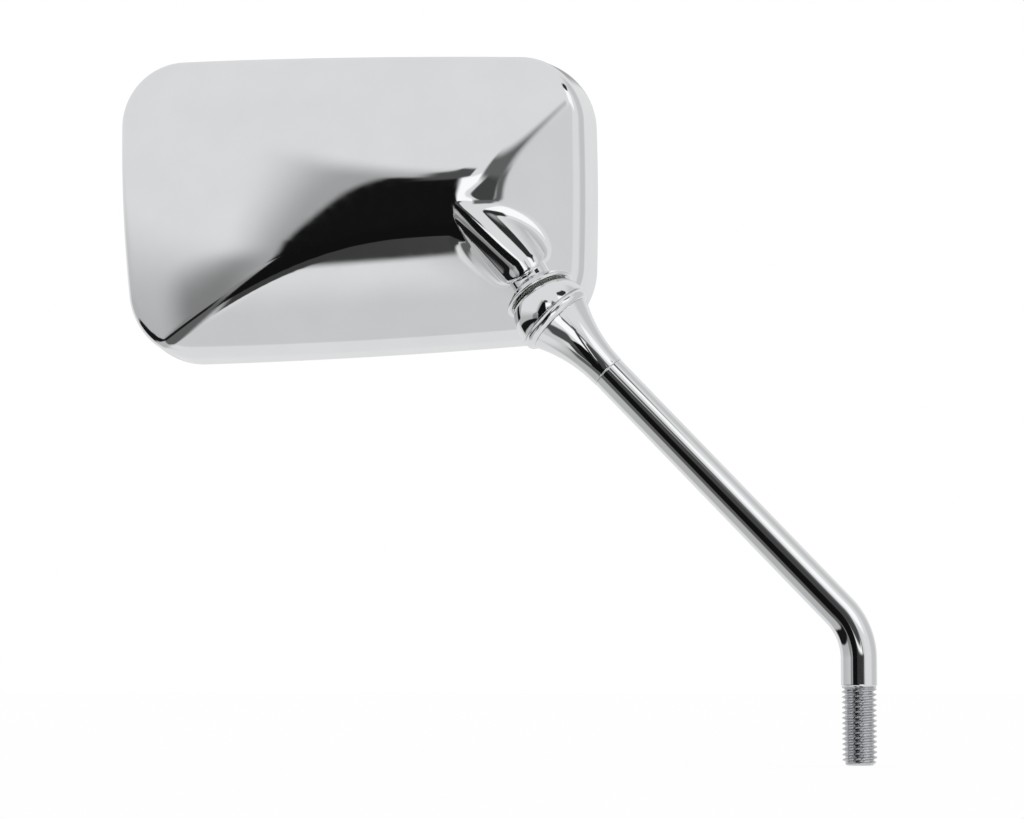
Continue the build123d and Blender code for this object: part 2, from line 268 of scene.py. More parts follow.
@dataclass(frozen=True)
class Finish:
    """A surface finish with mottled colour, uneven gloss and fine relief.

    Attributes:
        name: Name of the material.
        colour: Its colour, as light it sends back.
        shade: How much darker the colour gets in its mottled places, as a share.
        metal: 1 for a metal, 0 for anything else.
        gloss: Roughness at its smoothest and at its roughest.
        mottle: Size of the mottled places, in mm.
        grain: Size of the fine relief, in mm.
        relief: Depth of the fine relief, in mm.
        draw: Factors that stretch the fine relief along each axis.
        coat: Strength of a clear coat over it.
    """

    name: str
    colour: tuple[float, float, float]
    shade: float = 0.05
    metal: float = 1.0
    gloss: tuple[float, float] = (0.03, 0.06)
    mottle: float = 14.0
    grain: float = 5.0
    relief: float = 0.001
    draw: tuple[float, float, float] = (1.0, 1.0, 1.0)
    coat: float = 0.0

    def material(self) -> bpy.types.Material:
        """Makes the finish as a node material.

        Returns:
            The material, made once for each name.
        """
        known = bpy.data.materials.get(self.name)
        if known:
            return known
        made = bpy.data.materials.new(self.name)
        made.use_nodes = True
        desk = NodeDesk(made.node_tree)
        shader = made.node_tree.nodes["Principled BSDF"]
        desk.fill(shader, {"Metallic": self.metal, "Coat Weight": self.coat})
        place = desk.add("TexCoord").outputs["Object"]
        drawn = desk.stretch(place, self.draw)
        patches = desk.noise(place, self.mottle)
        tint = desk.add("Mix", data_type="RGBA")
        desk.feed(tint.inputs["Factor"], desk.spread(patches, 0.0, 1.0))
        desk.feed(tint.inputs["A"], (*self.colour, 1.0))
        desk.feed(tint.inputs["B"], (*[share * (1 - self.shade) for share in self.colour], 1.0))
        desk.feed(shader.inputs["Base Color"], tint.outputs["Result"])
        rubbed = desk.noise(drawn, self.grain / RUB_FINENESS, RUB_DETAIL)
        desk.feed(shader.inputs["Roughness"], desk.spread(rubbed, *self.gloss))
        bump = desk.add("Bump")
        height = desk.noise(drawn, self.grain)
        desk.fill(bump, {"Strength": 1.0, "Distance": self.relief * MM, "Height": height})
        desk.feed(shader.inputs["Normal"], bump.outputs["Normal"])
        return made


CHROME = (0.86, 0.87, 0.88)
FINISHES: dict[Slot, Finish] = {
    Slot.SHELL: Finish("pressed_chrome", CHROME, 0.03, gloss=(0.025, 0.055), grain=9.0, relief=0.0012),
    Slot.FITTINGS: Finish("turned_chrome", CHROME, 0.03, gloss=(0.02, 0.05), grain=3.0, relief=0.004),
    Slot.STEM: Finish("drawn_chrome", CHROME, 0.03, gloss=(0.02, 0.05), grain=6.0, relief=0.002),
    Slot.MIRROR: Finish(
        "silvered_glass", (0.92, 0.93, 0.94), 0.01, gloss=(0.004, 0.02), relief=0.0001, coat=0.6
    ),
    Slot.RUBBER: Finish("channel_rubber", (0.022, 0.022, 0.023), 0.3, 0.0, (0.5, 0.7), 4.0, 0.5, 0.03),
    Slot.NYLON: Finish("liner_nylon", (0.72, 0.70, 0.64), 0.06, 0.0, (0.35, 0.5), 3.0, 0.4, 0.01),
    Slot.SPRING: Finish("oiled_spring_steel", (0.36, 0.36, 0.37), 0.2, 1.0, (0.2, 0.35), 2.0, 0.4, 0.006),
    Slot.ZINC: Finish("zinc_plate", (0.62, 0.63, 0.65), 0.12, 1.0, (0.22, 0.38), 1.5, 0.3, 0.006),
}
ROLLED_THREAD = Finish("rolled_thread", (0.70, 0.71, 0.73), 0.2, 1.0, (0.12, 0.24), 1.5, 0.6, 0.006)


def dress(piece: bpy.types.Object, slot: Slot) -> None:
    """Gives a piece the finish of a slot, in place of any other.

    Args:
        piece: The object to dress.
        slot: The record's material slot.
    """
    piece.data.materials.clear()
    piece.data.materials.append(FINISHES[slot].material())


def make_piece(
    name: str, points: np.ndarray, faces: list[tuple[int, ...]], crease: float | None = None
) -> bpy.types.Object:
    """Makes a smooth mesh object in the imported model's frame.

    Args:
        name: The piece's name.
        points: Its vertices in mm, one row each.
        faces: Its faces as vertex numbers.
        crease: Angle from which its edges stay sharp, in degrees, or None where none does.

    Returns:
        The object, linked to the scene.
    """
    mesh = bpy.data.meshes.new(name)
    mesh.from_pydata((points * MM).tolist(), [], faces)
    mesh.shade_smooth()
    if crease is not None:
        mesh.set_sharp_from_angle(angle=math.radians(crease))
    piece = bpy.data.objects.new(name, mesh)
    bpy.context.scene.collection.objects.link(piece)
    return piece


def bridge(rows: int, count: int, closed: bool) -> list[tuple[int, ...]]:
    """Spans rows of points, each a closed ring, with faces.

    Args:
        rows: How many rows there are.
        count: How many points each row has.
        closed: Whether the last row joins the first. If not, a face closes each end.

    Returns:
        The faces as point numbers.
    """
    faces: list[tuple[int, ...]] = []
    for row in range(rows if closed else rows - 1):
        here = row * count
        ahead = (row + 1) % rows * count
        for step in range(count):
            after = (step + 1) % count
            faces.append((here + step, here + after, ahead + after, ahead + step))
    if not closed:
        faces.append(tuple(reversed(range(count))))
        faces.append(tuple((rows - 1) * count + step for step in range(count)))
    return faces


def settle(piece: bpy.types.Object, body: Body, slot: Slot, *nodes: str) -> bpy.types.Object:
    """Dresses a new piece, lets it ride on its body and stand for its nodes.

    Args:
        piece: The new piece.
        body: The body that carries it.
        slot: Its material slot.
        *nodes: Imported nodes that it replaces.

    Returns:
        The same piece.
    """
    dress(piece, slot)
    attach(piece, body.value)
    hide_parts(*nodes)
    log.info("%s: %d faces, stands for %s", piece.name, len(piece.data.polygons), ", ".join(nodes))
    return piece


def joint_named(name: str) -> dict:
    """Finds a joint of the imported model.

    Args:
        name: The joint's name.

    Returns:
        The joint's row.
    """
    return next(joint for joint in frame["joints"] if joint["name"] == name)


BALL_CENTRE = np.array(joint_named("head_turn")["pos_m"]) / MM
NECK_AXIS = np.array(joint_named("head_turn")["axis"])


def arc_through(
    start: tuple[float, float], middle: tuple[float, float], end: tuple[float, float], steps: int
) -> list[tuple[float, float]]:
    """Draws the arc through three points.

    Args:
        start: Its first point.
        middle: A point on it.
        end: Its last point.
        steps: How many chords it has.

    Returns:
        Its points, both ends among them.
    """
    a, b, c = (complex(*point) for point in (start, middle, end))
    turn = (c - a) / (b - a)
    centre = (b - a) * (turn - abs(turn) ** 2) / (2j * turn.imag) + a
    first, half, last = (math.atan2((p - centre).imag, (p - centre).real) for p in (a, b, c))
    full = 2 * math.pi
    sweep = (last - first) % full
    if (half - first) % full > sweep:
        sweep -= full
    radius = abs(a - centre)
    points = []
    for step in range(steps + 1):
        angle = first + sweep * step / steps
        points.append((centre.real + radius * math.cos(angle), centre.imag + radius * math.sin(angle)))
    return points


def soften(points: list[tuple[float, float]], radius: float, steps: int = 4) -> list[tuple[float, float]]:
    """Rounds the corners of an outline, each by no more than its sides allow.

    Args:
        points: The outline's points, not closed.
        radius: The radius of the rounding, in mm.
        steps: How many chords a rounded corner has.

    Returns:
        The outline with its sharp corners rounded.
    """
    rounded = [points[0]]
    for before, corner, after in zip(points, points[1:], points[2:]):
        back = Vector(before) - Vector(corner)
        ahead = Vector(after) - Vector(corner)
        turn = math.pi - back.angle(ahead)
        if turn < math.radians(PLAIN_TURN):
            rounded.append(corner)
            continue
        room = min(back.length, ahead.length) / CORNER_PART
        reach = min(radius * math.tan(turn / 2), room)
        first = Vector(corner) + back.normalized() * reach
        last = Vector(corner) + ahead.normalized() * reach
        for step in range(steps + 1):
            share = step / steps
            way = first.lerp(Vector(corner), share).lerp(Vector(corner).lerp(last, share), share)
            rounded.append(tuple(way))
    rounded.append(points[-1])
    return rounded


def face_outwards(piece: bpy.types.Object) -> None:
    """Turns a closed mesh's faces outwards when its volume comes out negative.

    Args:
        piece: The closed piece.
    """
    mesh = piece.data
    mesh.calc_loop_triangles()
    corners = np.empty(len(mesh.loop_triangles) * 3, int)
    mesh.loop_triangles.foreach_get("vertices", corners)
    places = np.empty(len(mesh.vertices) * 3)
    mesh.vertices.foreach_get("co", places)
    first, second, third = places.reshape(-1, 3)[corners.reshape(-1, 3)].transpose(1, 0, 2)
    if np.einsum("ij,ij->i", first, np.cross(second, third)).sum() < 0:
        mesh.flip_normals()


def lathe(
    name: str, outline: list[tuple[float, float]], axis: np.ndarray, closed: bool, steps: int = 128
) -> bpy.types.Object:
    """Turns an outline about an axis through the ball's centre.

    Args:
        name: The piece's name.
        outline: Points as radius and height along the axis, in mm.
        axis: The axis, a unit vector.
        closed: Whether the last point joins the first.
        steps: How many steps one turn has.

    Returns:
        The turned piece.
    """
    side = np.cross(axis, (0.0, 1.0, 0.0))
    side = side / np.linalg.norm(side)
    other = np.cross(axis, side)
    points: list[np.ndarray] = []
    rings: list[list[int]] = []
    for radius, height in outline:
        count = steps if radius > ON_AXIS else 1
        ring = []
        for step in range(count):
            angle = 2 * math.pi * step / steps
            around = side * radius * math.cos(angle) + other * radius * math.sin(angle)
            ring.append(len(points))
            points.append(BALL_CENTRE + axis * height + around)
        rings.append(ring)
    faces: list[tuple[int, ...]] = []
    pairs = list(zip(rings, rings[1:]))
    if closed:
        pairs.append((rings[-1], rings[0]))
    for low, high in pairs:
        for step in range(steps):
            corners = [low[step % len(low)], low[(step + 1) % len(low)]]
            corners += [high[(step + 1) % len(high)], high[step % len(high)]]
            faces.append(tuple(dict.fromkeys(corners)))
    piece = make_piece(name, np.array(points), faces, TURNED_CREASE)
    face_outwards(piece)
    return piece


@dataclass
class Stem:
    """Bent rod with its threaded foot.

    Attributes:
        diameter: Diameter of the drawn rod.
        upright: Height of the bend's corner above the thread's shoulder.
        arm: Length from that corner to the sleeve's foot.
        bend_radius: Radius of the bend at the rod's middle.
        bend_rows: Rows of the mesh round the bend.
        tenon_diameter: Diameter of the turned end inside the sleeve.
        tenon_length: Its length.
        tenon_chamfer: Chamfer at its tip.
        top_rows: Rows of the edge at the sleeve's foot, each as its depth below it and under the skin.
        shoulder_rows: Rows of the chamfer above the thread, each as its height and depth under the skin.
        seam: Step between the rows of a sharp corner.
        pitch: Pitch of the thread.
        thread_depth: Depth of the thread.
        thread_crest: Width of the thread's crest, as a share of the pitch.
        thread_flanks: Width of its two flanks together, as a share of the pitch.
        thread_runout: Turns in which the thread fades out below the shoulder.
        thread_rows: Rows of the mesh to each turn of the thread.
        foot_chamfer: Chamfer at the end of the thread.
        crease: Angle from which an edge stays sharp, in degrees.
        steps: Steps round the rod.
    """

    diameter: float = 10.4
    upright: float = 16.2
    arm: float = 106.1
    bend_radius: float = 20.0
    bend_rows: int = 40
    tenon_diameter: float = 7.0
    tenon_length: float = 10.0
    tenon_chamfer: float = 0.6
    top_rows: tuple[tuple[float, float], ...] = ((0, 0.25), (0.07, 0.07), (0.25, 0), (0.4, 0), (1, 0))
    shoulder_rows: tuple[tuple[float, float], ...] = ((0.72, 0), (0.495, 0), (0.45, 0.03), (0.02, 0.45))
    seam: float = 0.02
    pitch: float = 1.5
    thread_depth: float = 0.92
    thread_crest: float = 0.16
    thread_flanks: float = 0.56
    thread_runout: float = 0.6
    thread_rows: int = 14
    foot_chamfer: float = 1.2
    crease: float = 50.0
    steps: int = 96

    def __post_init__(self) -> None:
        """Takes the rod's direction and the thread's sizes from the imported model."""
        corner = np.array((0.0, 0.0, self.upright))
        self.direction = (BALL_CENTRE - corner) / np.linalg.norm(BALL_CENTRE - corner)
        self.corner = corner
        thread = frame["record"]["mounts"][0]["dims"]
        self.thread_radius = thread["r_mm"]
        self.thread_length = -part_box("stem_rod")[0].z / MM

    def thread_radii(self, height: float, angles: np.ndarray) -> np.ndarray:
        """Gives the thread's radius round the foot at one height.

        Args:
            height: Height below the shoulder, negative, in mm.
            angles: Angles round the axis.

        Returns:
            A radius for each angle.
        """
        phase = (height / self.pitch - angles / (2 * math.pi)) % 1.0
        side = np.abs(2 * phase - 1)
        depth = np.clip((side - self.thread_crest) / self.thread_flanks, 0, 1)
        runout = np.clip(-height / (self.thread_runout * self.pitch), 0, 1)
        radii = self.thread_radius - self.thread_depth * depth * runout
        return np.minimum(radii, self.thread_radius - self.foot_chamfer + (height + self.thread_length))

    def rod_rows(self) -> list[tuple[np.ndarray, np.ndarray, float]]:
        """Lists the rod's rows from the tenon's tip to the thread's shoulder.

        Returns:
            The centre, the direction and the radius of each row.
        """
        radius = self.diameter / 2
        tenon = self.tenon_diameter / 2
        up = np.array((0.0, 0.0, 1.0))
        bend = math.acos(float(self.direction @ up))
        tangent = self.bend_radius * math.tan(bend / 2)
        sleeve_foot = self.corner + self.direction * self.arm
        bend_centre = self.corner - up * tangent + np.array((-self.bend_radius, 0.0, 0.0))
        top = [
            (self.tenon_length, tenon - self.tenon_chamfer),
            (self.tenon_length - self.tenon_chamfer, tenon),
            (self.seam, tenon),
            (0.0, tenon + self.seam),
        ]
        top += [(-below, radius - under) for below, under in self.top_rows]
        rows = [(sleeve_foot + self.direction * height, self.direction, size) for height, size in top]
        for row in range(self.bend_rows + 1):
            turn = bend * (1 - row / self.bend_rows)
            out = np.array((math.cos(turn), 0.0, math.sin(turn)))
            along = np.array((-math.sin(turn), 0.0, math.cos(turn)))
            rows.append((bend_centre + out * self.bend_radius, along, radius))
        rows += [(up * height, up, radius - under) for height, under in self.shoulder_rows]
        return rows

    def build(self) -> bpy.types.Object:
        """Sweeps the rod from its tenon to the foot of its thread.

        Returns:
            The rod as one piece.
        """
        angles = 2 * math.pi * np.arange(self.steps) / self.steps
        across = np.array((0.0, 1.0, 0.0))
        rings = []
        for centre, along, size in self.rod_rows():
            circle = np.outer(np.cos(angles), np.cross(across, along)) + np.outer(np.sin(angles), across)
            rings.append(centre + size * circle)
        rows = round(self.thread_length / self.pitch * self.thread_rows)
        for row in range(rows + 1):
            height = -self.thread_length * row / rows
            radii = self.thread_radii(height, angles)
            level = np.full(self.steps, height)
            rings.append(np.column_stack([radii * np.cos(angles), radii * np.sin(angles), level]))
        faces = bridge(len(rings), self.steps, closed=False)
        piece = make_piece("stem", np.concatenate(rings), faces, self.crease)
        face_outwards(piece)
        return piece

    def dull_thread(self, piece: bpy.types.Object) -> None:
        """Gives the thread its duller finish.

        Args:
            piece: The dressed rod.
        """
        piece.data.materials.append(ROLLED_THREAD.material())
        for face in piece.data.polygons:
            face.material_index = int(face.center.z < -self.seam * MM)


@dataclass
class BallJoint:
    """Sleeve, bead, ball and cup, all turned parts.

    Attributes:
        stem_axis: Direction of the stem's arm, about which all but the cup are turned.
        sleeve_length: Length of the trumpet sleeve.
        sleeve_foot: Diameter at its foot.
        sleeve_mouth: Diameter at its mouth.
        pocket_depth: Depth of the pocket in its mouth.
        spigot_wall: Wall of its spigot.
        spigot_length: Length of its spigot.
        socket_diameter: Bore for the stem's tenon.
        socket_depth: Depth of that bore.
        bead_height: Height of the bead ring.
        bead_foot: Diameter of the bead at its foot.
        bead_top: Diameter of the bead at its top.
        bead_waist: Diameter of the bead at its widest.
        ball: Diameter of the ball.
        ball_wall: Wall of the ball.
        ball_rise: Height of the ball's centre above the sleeve's mouth.
        hole_angle: Angle from the axis to the edge of the ball's hole, in degrees.
        side_angle: Angle to a point on the ball's side, which its arcs run through.
        cup_bore: Radius of the cup's hollow.
        cup_wall: Wall of the cup's dome.
        lip_height: Height of the cup's lip above the ball's centre.
        lip_thickness: Height of the lip's bead.
        lip_bulge: How far the lip's bead stands out.
        floor: Thickness of the cup's floor at the bolt's hole.
        bolt_hole: Radius of the bolt's hole.
        cup_spigot: Diameter of the cup's spigot.
        cup_spigot_wall: Wall of that spigot.
        cup_spigot_length: Length of that spigot.
        gap: Assembly gap between the pieces.
        edge: Rounding of the turned edges.
        arc_steps: Chords of the long arcs.
        bead_steps: Chords of the bead's arc.
        cup_steps: Chords of the cup's arcs.
        lip_steps: Chords of the lip's arc.
    """

    stem_axis: np.ndarray
    sleeve_length: float = 20.9
    sleeve_foot: float = 10.7
    sleeve_mouth: float = 20.8
    pocket_depth: float = 2.0
    spigot_wall: float = 1.3
    spigot_length: float = 2.0
    socket_diameter: float = 7.1
    socket_depth: float = 10.05
    bead_height: float = 3.0
    bead_foot: float = 21.0
    bead_top: float = 22.4
    bead_waist: float = 23.8
    ball: float = 23.6
    ball_wall: float = 2.05
    ball_rise: float = 3.2
    hole_angle: float = 32.84
    side_angle: float = 65.0
    cup_bore: float = 12.5
    cup_wall: float = 1.0
    lip_height: float = 7.4
    lip_thickness: float = 1.0
    lip_bulge: float = 0.6
    floor: float = 4.0
    bolt_hole: float = 2.05
    cup_spigot: float = 12.4
    cup_spigot_wall: float = 1.5
    cup_spigot_length: float = 14.0
    gap: float = 0.05
    edge: float = 0.22
    arc_steps: int = 48
    bead_steps: int = 20
    cup_steps: int = 32
    lip_steps: int = 12

    def polar(self, radius: float, angle: float) -> tuple[float, float]:
        """Gives the point at a radius and an angle from the upright axis."""
        return (radius * math.sin(math.radians(angle)), radius * math.cos(math.radians(angle)))

    def sleeve(self) -> bpy.types.Object:
        """Turns the trumpet sleeve.

        Returns:
            The sleeve.
        """
        mouth = -self.ball_rise
        foot = mouth - self.sleeve_length
        rise = (self.sleeve_mouth - self.sleeve_foot) / 2
        flare = (rise**2 + self.sleeve_length**2) / (2 * rise)
        sweep = math.asin(self.sleeve_length / flare)
        half = (
            self.sleeve_foot / 2 + flare * (1 - math.cos(sweep / 2)),
            foot + flare * math.sin(sweep / 2),
        )
        spigot = self.ball / 2 - self.ball_wall - self.gap
        pocket = spigot - self.spigot_wall
        socket = self.socket_diameter / 2
        outline = [
            (0.0, mouth - self.pocket_depth),
            (pocket, mouth - self.pocket_depth),
            (pocket, mouth + self.spigot_length),
            (spigot, mouth + self.spigot_length),
            (spigot, mouth),
        ]
        ends = ((self.sleeve_mouth / 2, mouth), (self.sleeve_foot / 2, foot))
        outline += arc_through(ends[0], half, ends[1], self.arc_steps)
        outline += [(socket, foot), (socket, foot + self.socket_depth), (0.0, foot + self.socket_depth)]
        return lathe("trumpet", soften(outline, self.edge), self.stem_axis, closed=False)

    def bead(self) -> bpy.types.Object:
        """Turns the bead ring.

        Returns:
            The ring.
        """
        low = -self.ball_rise
        high = low + self.bead_height
        middle = (low + high) / 2
        bore = self.ball / 2 - self.ball_wall
        outline = [(bore, middle), (bore, low)]
        outline += arc_through(
            (self.bead_foot / 2, low),
            (self.bead_waist / 2, middle),
            (self.bead_top / 2, high),
            self.bead_steps,
        )
        outline += [(bore, high), (bore, middle)]
        return lathe("bead", soften(outline, self.edge)[:-1], self.stem_axis, closed=True)

    def pivot(self) -> bpy.types.Object:
        """Turns the hollow ball.

        Returns:
            The ball.
        """
        outside = self.ball / 2
        inside = outside - self.ball_wall
        foot = self.bead_height - self.ball_rise
        edge = (math.sqrt(outside**2 - foot**2), foot)
        outer_hole, inner_hole = (self.polar(radius, self.hole_angle) for radius in (outside, inside))
        outer_side, inner_side = (self.polar(radius, self.side_angle) for radius in (outside, inside))
        outline = [self.polar((outside + inside) / 2, self.hole_angle)]
        outline += arc_through(outer_hole, outer_side, edge, self.arc_steps)
        outline += [(inside, foot)]
        outline += arc_through((inside, 0.0), inner_side, inner_hole, self.arc_steps // 2)
        outline += [outline[0]]
        return lathe("ball", soften(outline, self.edge)[:-1], self.stem_axis, closed=True)

    def cup(self) -> bpy.types.Object:
        """Turns the cup with its lip, dome and spigot.

        Returns:
            The cup.
        """
        dome = self.cup_bore + self.cup_wall
        lip_top = self.lip_height + self.lip_thickness
        lip = math.sqrt(dome**2 - lip_top**2)
        spigot = self.cup_spigot / 2
        dome_angle = math.degrees(math.asin(spigot / dome))
        lip_angle = math.degrees(math.asin(lip / dome))
        crown = math.sqrt(self.cup_bore**2 - self.bolt_hole**2)
        mouth = (math.sqrt(self.cup_bore**2 - self.lip_height**2), self.lip_height)
        dome_end = self.polar(dome, dome_angle)
        spigot_end = dome_end[1] + self.cup_spigot_length
        inside = spigot - self.cup_spigot_wall
        outline = [(self.bolt_hole, crown + self.floor / 2)]
        bore_side = self.polar(self.cup_bore, lip_angle / 2)
        outline += arc_through((self.bolt_hole, crown), bore_side, mouth, self.cup_steps)
        outline += arc_through(
            (lip, self.lip_height),
            (lip + self.lip_bulge, self.lip_height + self.lip_thickness / 2),
            (lip, lip_top),
            self.lip_steps,
        )
        dome_side = self.polar(dome, (lip_angle + dome_angle) / 2)
        outline += arc_through((lip, lip_top), dome_side, dome_end, self.cup_steps)[1:]
        outline += [
            (spigot, spigot_end),
            (inside, spigot_end),
            (inside, crown + self.floor),
            (self.bolt_hole, crown + self.floor),
            outline[0],
        ]
        return lathe("cup", soften(outline, self.edge / 2)[:-1], NECK_AXIS, closed=True)

    def build(self) -> None:
        """Turns the four fittings and puts each on its body."""
        turned = {
            "trumpet_sleeve": (self.sleeve, Body.STEM),
            "bead_ring": (self.bead, Body.STEM),
            "pivot_ball": (self.pivot, Body.STEM),
            "ball_cup": (self.cup, Body.HEAD),
        }
        for node, (turn, body) in turned.items():
            settle(turn(), body, Slot.FITTINGS, node)


def round_max(first: np.ndarray, second: np.ndarray, radius: float) -> np.ndarray:
    """Joins two distances as their larger, with a rounded corner.

    Args:
        first: Distances from one surface, negative inside.
        second: Distances from the other.
        radius: Radius of the corner, in mm.

    Returns:
        Distances from what both enclose.
    """
    outside = np.hypot(np.maximum(first + radius, 0), np.maximum(second + radius, 0))
    return np.minimum(np.maximum(first, second), -radius) + outside


def round_min(first: np.ndarray, second: np.ndarray, radius: float) -> np.ndarray:
    """Joins two distances as their smaller, with a filleted corner.

    Args:
        first: Distances from one surface, negative inside.
        second: Distances from the other.
        radius: Radius of the fillet, in mm.

    Returns:
        Distances from what either encloses.
    """
    return -round_max(-first, -second, radius)


def slopes(distance: Callable[[np.ndarray], np.ndarray], places: np.ndarray) -> np.ndarray:
    """Gives the direction in which a distance grows at each place.

    Args:
        distance: Gives distances for rows of places.
        places: Places, one row each.

    Returns:
        One slope vector for each place.
    """
    nudge = 0.02
    columns = []
    for axis in range(3):
        step = np.zeros(3)
        step[axis] = nudge
        columns.append((distance(places + step) - distance(places - step)) / (2 * nudge))
    return np.stack(columns, axis=1)


@dataclass
class HeadForm:
    """Form of the head: the outline of its mouth, its crown, facet, scoop and neck.

    Places are measured from the ball's centre: x to the right, z up, and h out of the mouth's plane
    towards the crown.

    Attributes:
        depth: Distance from the mouth's plane to the ball's centre.
        left_top: Reach of the outline to its upper left corner.
        left_bottom: Reach to its lower left corner.
        right: Reach to its right side.
        top_left: Height of its upper left corner.
        top_right: Height of its upper right corner.
        bottom_left: Depth of its lower left corner.
        bottom_right: Depth of its lower right corner.
        side_bow: How far each side bows out.
        corner: Radius of the outline's corners.
        wall: Thickness of the pressed sheet.
        draft: Angle by which the walls lean in, in degrees.
        shoulder: Rounding between walls and crown.
        bezel: Width of the rolled rim inside the wall.
        rim_edge: Rounding of the rim.
        opening_edge: Rounding at the ends of the opening inside the rim.
        hollow_edge: Fillet between that opening and the hollow.
        summit: How far left and up of the ball the crown is highest, and how much it rises there.
        ridge_rise: Angle of the ridge, in degrees.
        ridge_radius: Radius of the ridge's fall to the left.
        dome_round: Rounding of the dome's upper side.
        corner_height: Height of the crown over the upper left corner.
        top_edge: Height of the crown over the top edge.
        top_crease: Height above the ball where the top side starts to fall.
        right_edge: Height of the crown over the right edge.
        right_crease: How far left of the ball the right side starts to fall.
        scoop_depth: Depth of the scoop behind the ball.
        scoop_radius: Radius of the scoop at its floor.
        blend: Softness of the creases of the crown.
        facet_foot: Height of the lower facet at the bottom edge.
        facet_radius: Radius of the lower facet's bulge.
        facet_crease: Rounding between facet and crown.
        neck_start: Where the neck starts along its axis.
        neck_diameter: Diameter of the neck at its start.
        neck_wall: Wall of the neck.
        neck_end_dip: Slant of the neck's end, in degrees below the neck's own.
        neck_root: Where the neck's root lies along its axis.
        neck_root_diameter: Diameter of the neck there.
        neck_edge: Rounding of the neck's open end.
        neck_cap: Rounding of its end inside the crown.
        neck_fillet: Fillet between the neck and the crown.
        fillet_least: Share of the fillet at the neck's start.
        fillet_full: How far along the neck the fillet is whole, as a share of its length.
        fillet_range: Likeness of two skins' directions, as a cosine, that the fillet reckons with.
        neck_bend: How far the neck's root swings to the left, and out of the crown, negative for into it.
        neck_lean: How much higher the neck's left flank stands than its right, as a share of its width.
    """

    depth: float = 30.0
    left_top: float = 144.6
    left_bottom: float = 138.8
    right: float = 7.0
    top_left: float = 87.0
    top_right: float = 82.6
    bottom_left: float = 9.4
    bottom_right: float = 4.4
    side_bow: float = 1.3
    corner: float = 21.0
    wall: float = 1.2
    draft: float = 6.0
    shoulder: float = 2.6
    bezel: float = 2.4
    rim_edge: float = 0.5
    opening_edge: float = 0.2
    hollow_edge: float = 0.1
    summit: tuple[float, float, float] = (44.0, 24.0, 1.0)
    ridge_rise: float = 24.0
    ridge_radius: float = 240.0
    dome_round: float = 30.0
    corner_height: float = 8.4
    top_edge: float = 11.0
    top_crease: float = 44.0
    right_edge: float = 16.5
    right_crease: float = 22.0
    scoop_depth: float = 16.0
    scoop_radius: float = 8.0
    blend: float = 1.6
    facet_foot: float = 12.0
    facet_radius: float = 110.0
    facet_crease: float = 1.2
    neck_start: float = 17.4
    neck_diameter: float = 15.0
    neck_wall: float = 1.2
    neck_end_dip: float = -24.0
    neck_root: float = 52.0
    neck_root_diameter: float = 20.6
    neck_edge: float = 0.9
    neck_cap: float = 8.0
    neck_fillet: float = 8.0
    fillet_least: float = 0.25
    fillet_full: float = 0.5
    fillet_range: tuple[float, float] = (-0.9, 0.999)
    neck_bend: tuple[float, float] = (5.0, -1.6)
    neck_lean: float = 0.45

    def __post_init__(self) -> None:
        """Works out the slopes and centres that follow from the sizes."""
        self.summit_height = self.depth + self.summit[2]
        self.top_slope = (self.summit_height - self.top_edge) / (self.top_left - self.top_crease)
        self.right_slope = (self.summit_height - self.right_edge) / (self.right + self.right_crease)
        end_fall, side_turn = self.falls(np.array(-self.left_top), np.array(self.top_left))
        self.dome_slope = math.sqrt((self.summit_height - self.corner_height) ** 2 - end_fall**2) / side_turn
        self.neck_axis = np.array((NECK_AXIS[0], NECK_AXIS[2], -NECK_AXIS[1]))
        flat = math.hypot(self.neck_axis[0], self.neck_axis[1])
        self.neck_right = np.array((self.neck_axis[1], -self.neck_axis[0], 0)) / flat
        self.neck_up = np.cross(self.neck_right, self.neck_axis)
        self.sides = self.bowed_sides()
        self.set_facet()

    def bowed_sides(self) -> list[tuple[np.ndarray, float]]:
        """Finds the circles that bow the outline's four sides.

        Returns:
            A centre and a radius for each side.
        """
        corners = [
            np.array((-self.left_top, self.top_left)),
            np.array((self.right, self.top_right)),
            np.array((self.right, -self.bottom_right)),
            np.array((-self.left_bottom, -self.bottom_left)),
        ]
        sides = []
        for start, end in zip(corners, corners[1:] + corners[:1]):
            chord = end - start
            length = float(np.linalg.norm(chord))
            radius = (length**2 / 4 + self.side_bow**2) / (2 * self.side_bow)
            outward = np.array((-chord[1], chord[0])) / length
            sides.append(((start + end) / 2 - outward * (radius - self.side_bow), radius))
        return sides

    def set_facet(self) -> None:
        """Places the circle of the lower facet in the section across the bottom edge."""
        slant = math.atan2(self.bottom_left - self.bottom_right, self.left_bottom + self.right)
        self.facet_up = np.array((-math.sin(slant), math.cos(slant)))
        foot = np.array((0.0, self.facet_foot))
        crest = np.array((self.bottom_left + self.summit[1], self.summit_height))
        chord = crest - foot
        length = float(np.linalg.norm(chord))
        bow = math.sqrt(self.facet_radius**2 - length**2 / 4)
        self.facet_centre = (foot + crest) / 2 + np.array((chord[1], -chord[0])) / length * bow

    def outline(self, x: np.ndarray, z: np.ndarray) -> np.ndarray:
        """Measures the distance from the outline of the mouth.

        Args:
            x: Places to the right.
            z: Places up.

        Returns:
            Distances, negative inside.
        """
        over = []
        for centre, radius in self.sides:
            over.append(np.hypot(x - centre[0], z - centre[1]) - radius + self.corner)
        round_part = np.sqrt(sum(np.maximum(side, 0) ** 2 for side in over))
        return np.minimum(np.maximum.reduce(over), 0) + round_part - self.corner

    def side(self, x: np.ndarray, z: np.ndarray, h: np.ndarray) -> np.ndarray:
        """Measures the distance from the leaning walls."""
        lean = math.radians(self.draft)
        return (self.outline(x, z) + h * math.tan(lean)) * math.cos(lean)

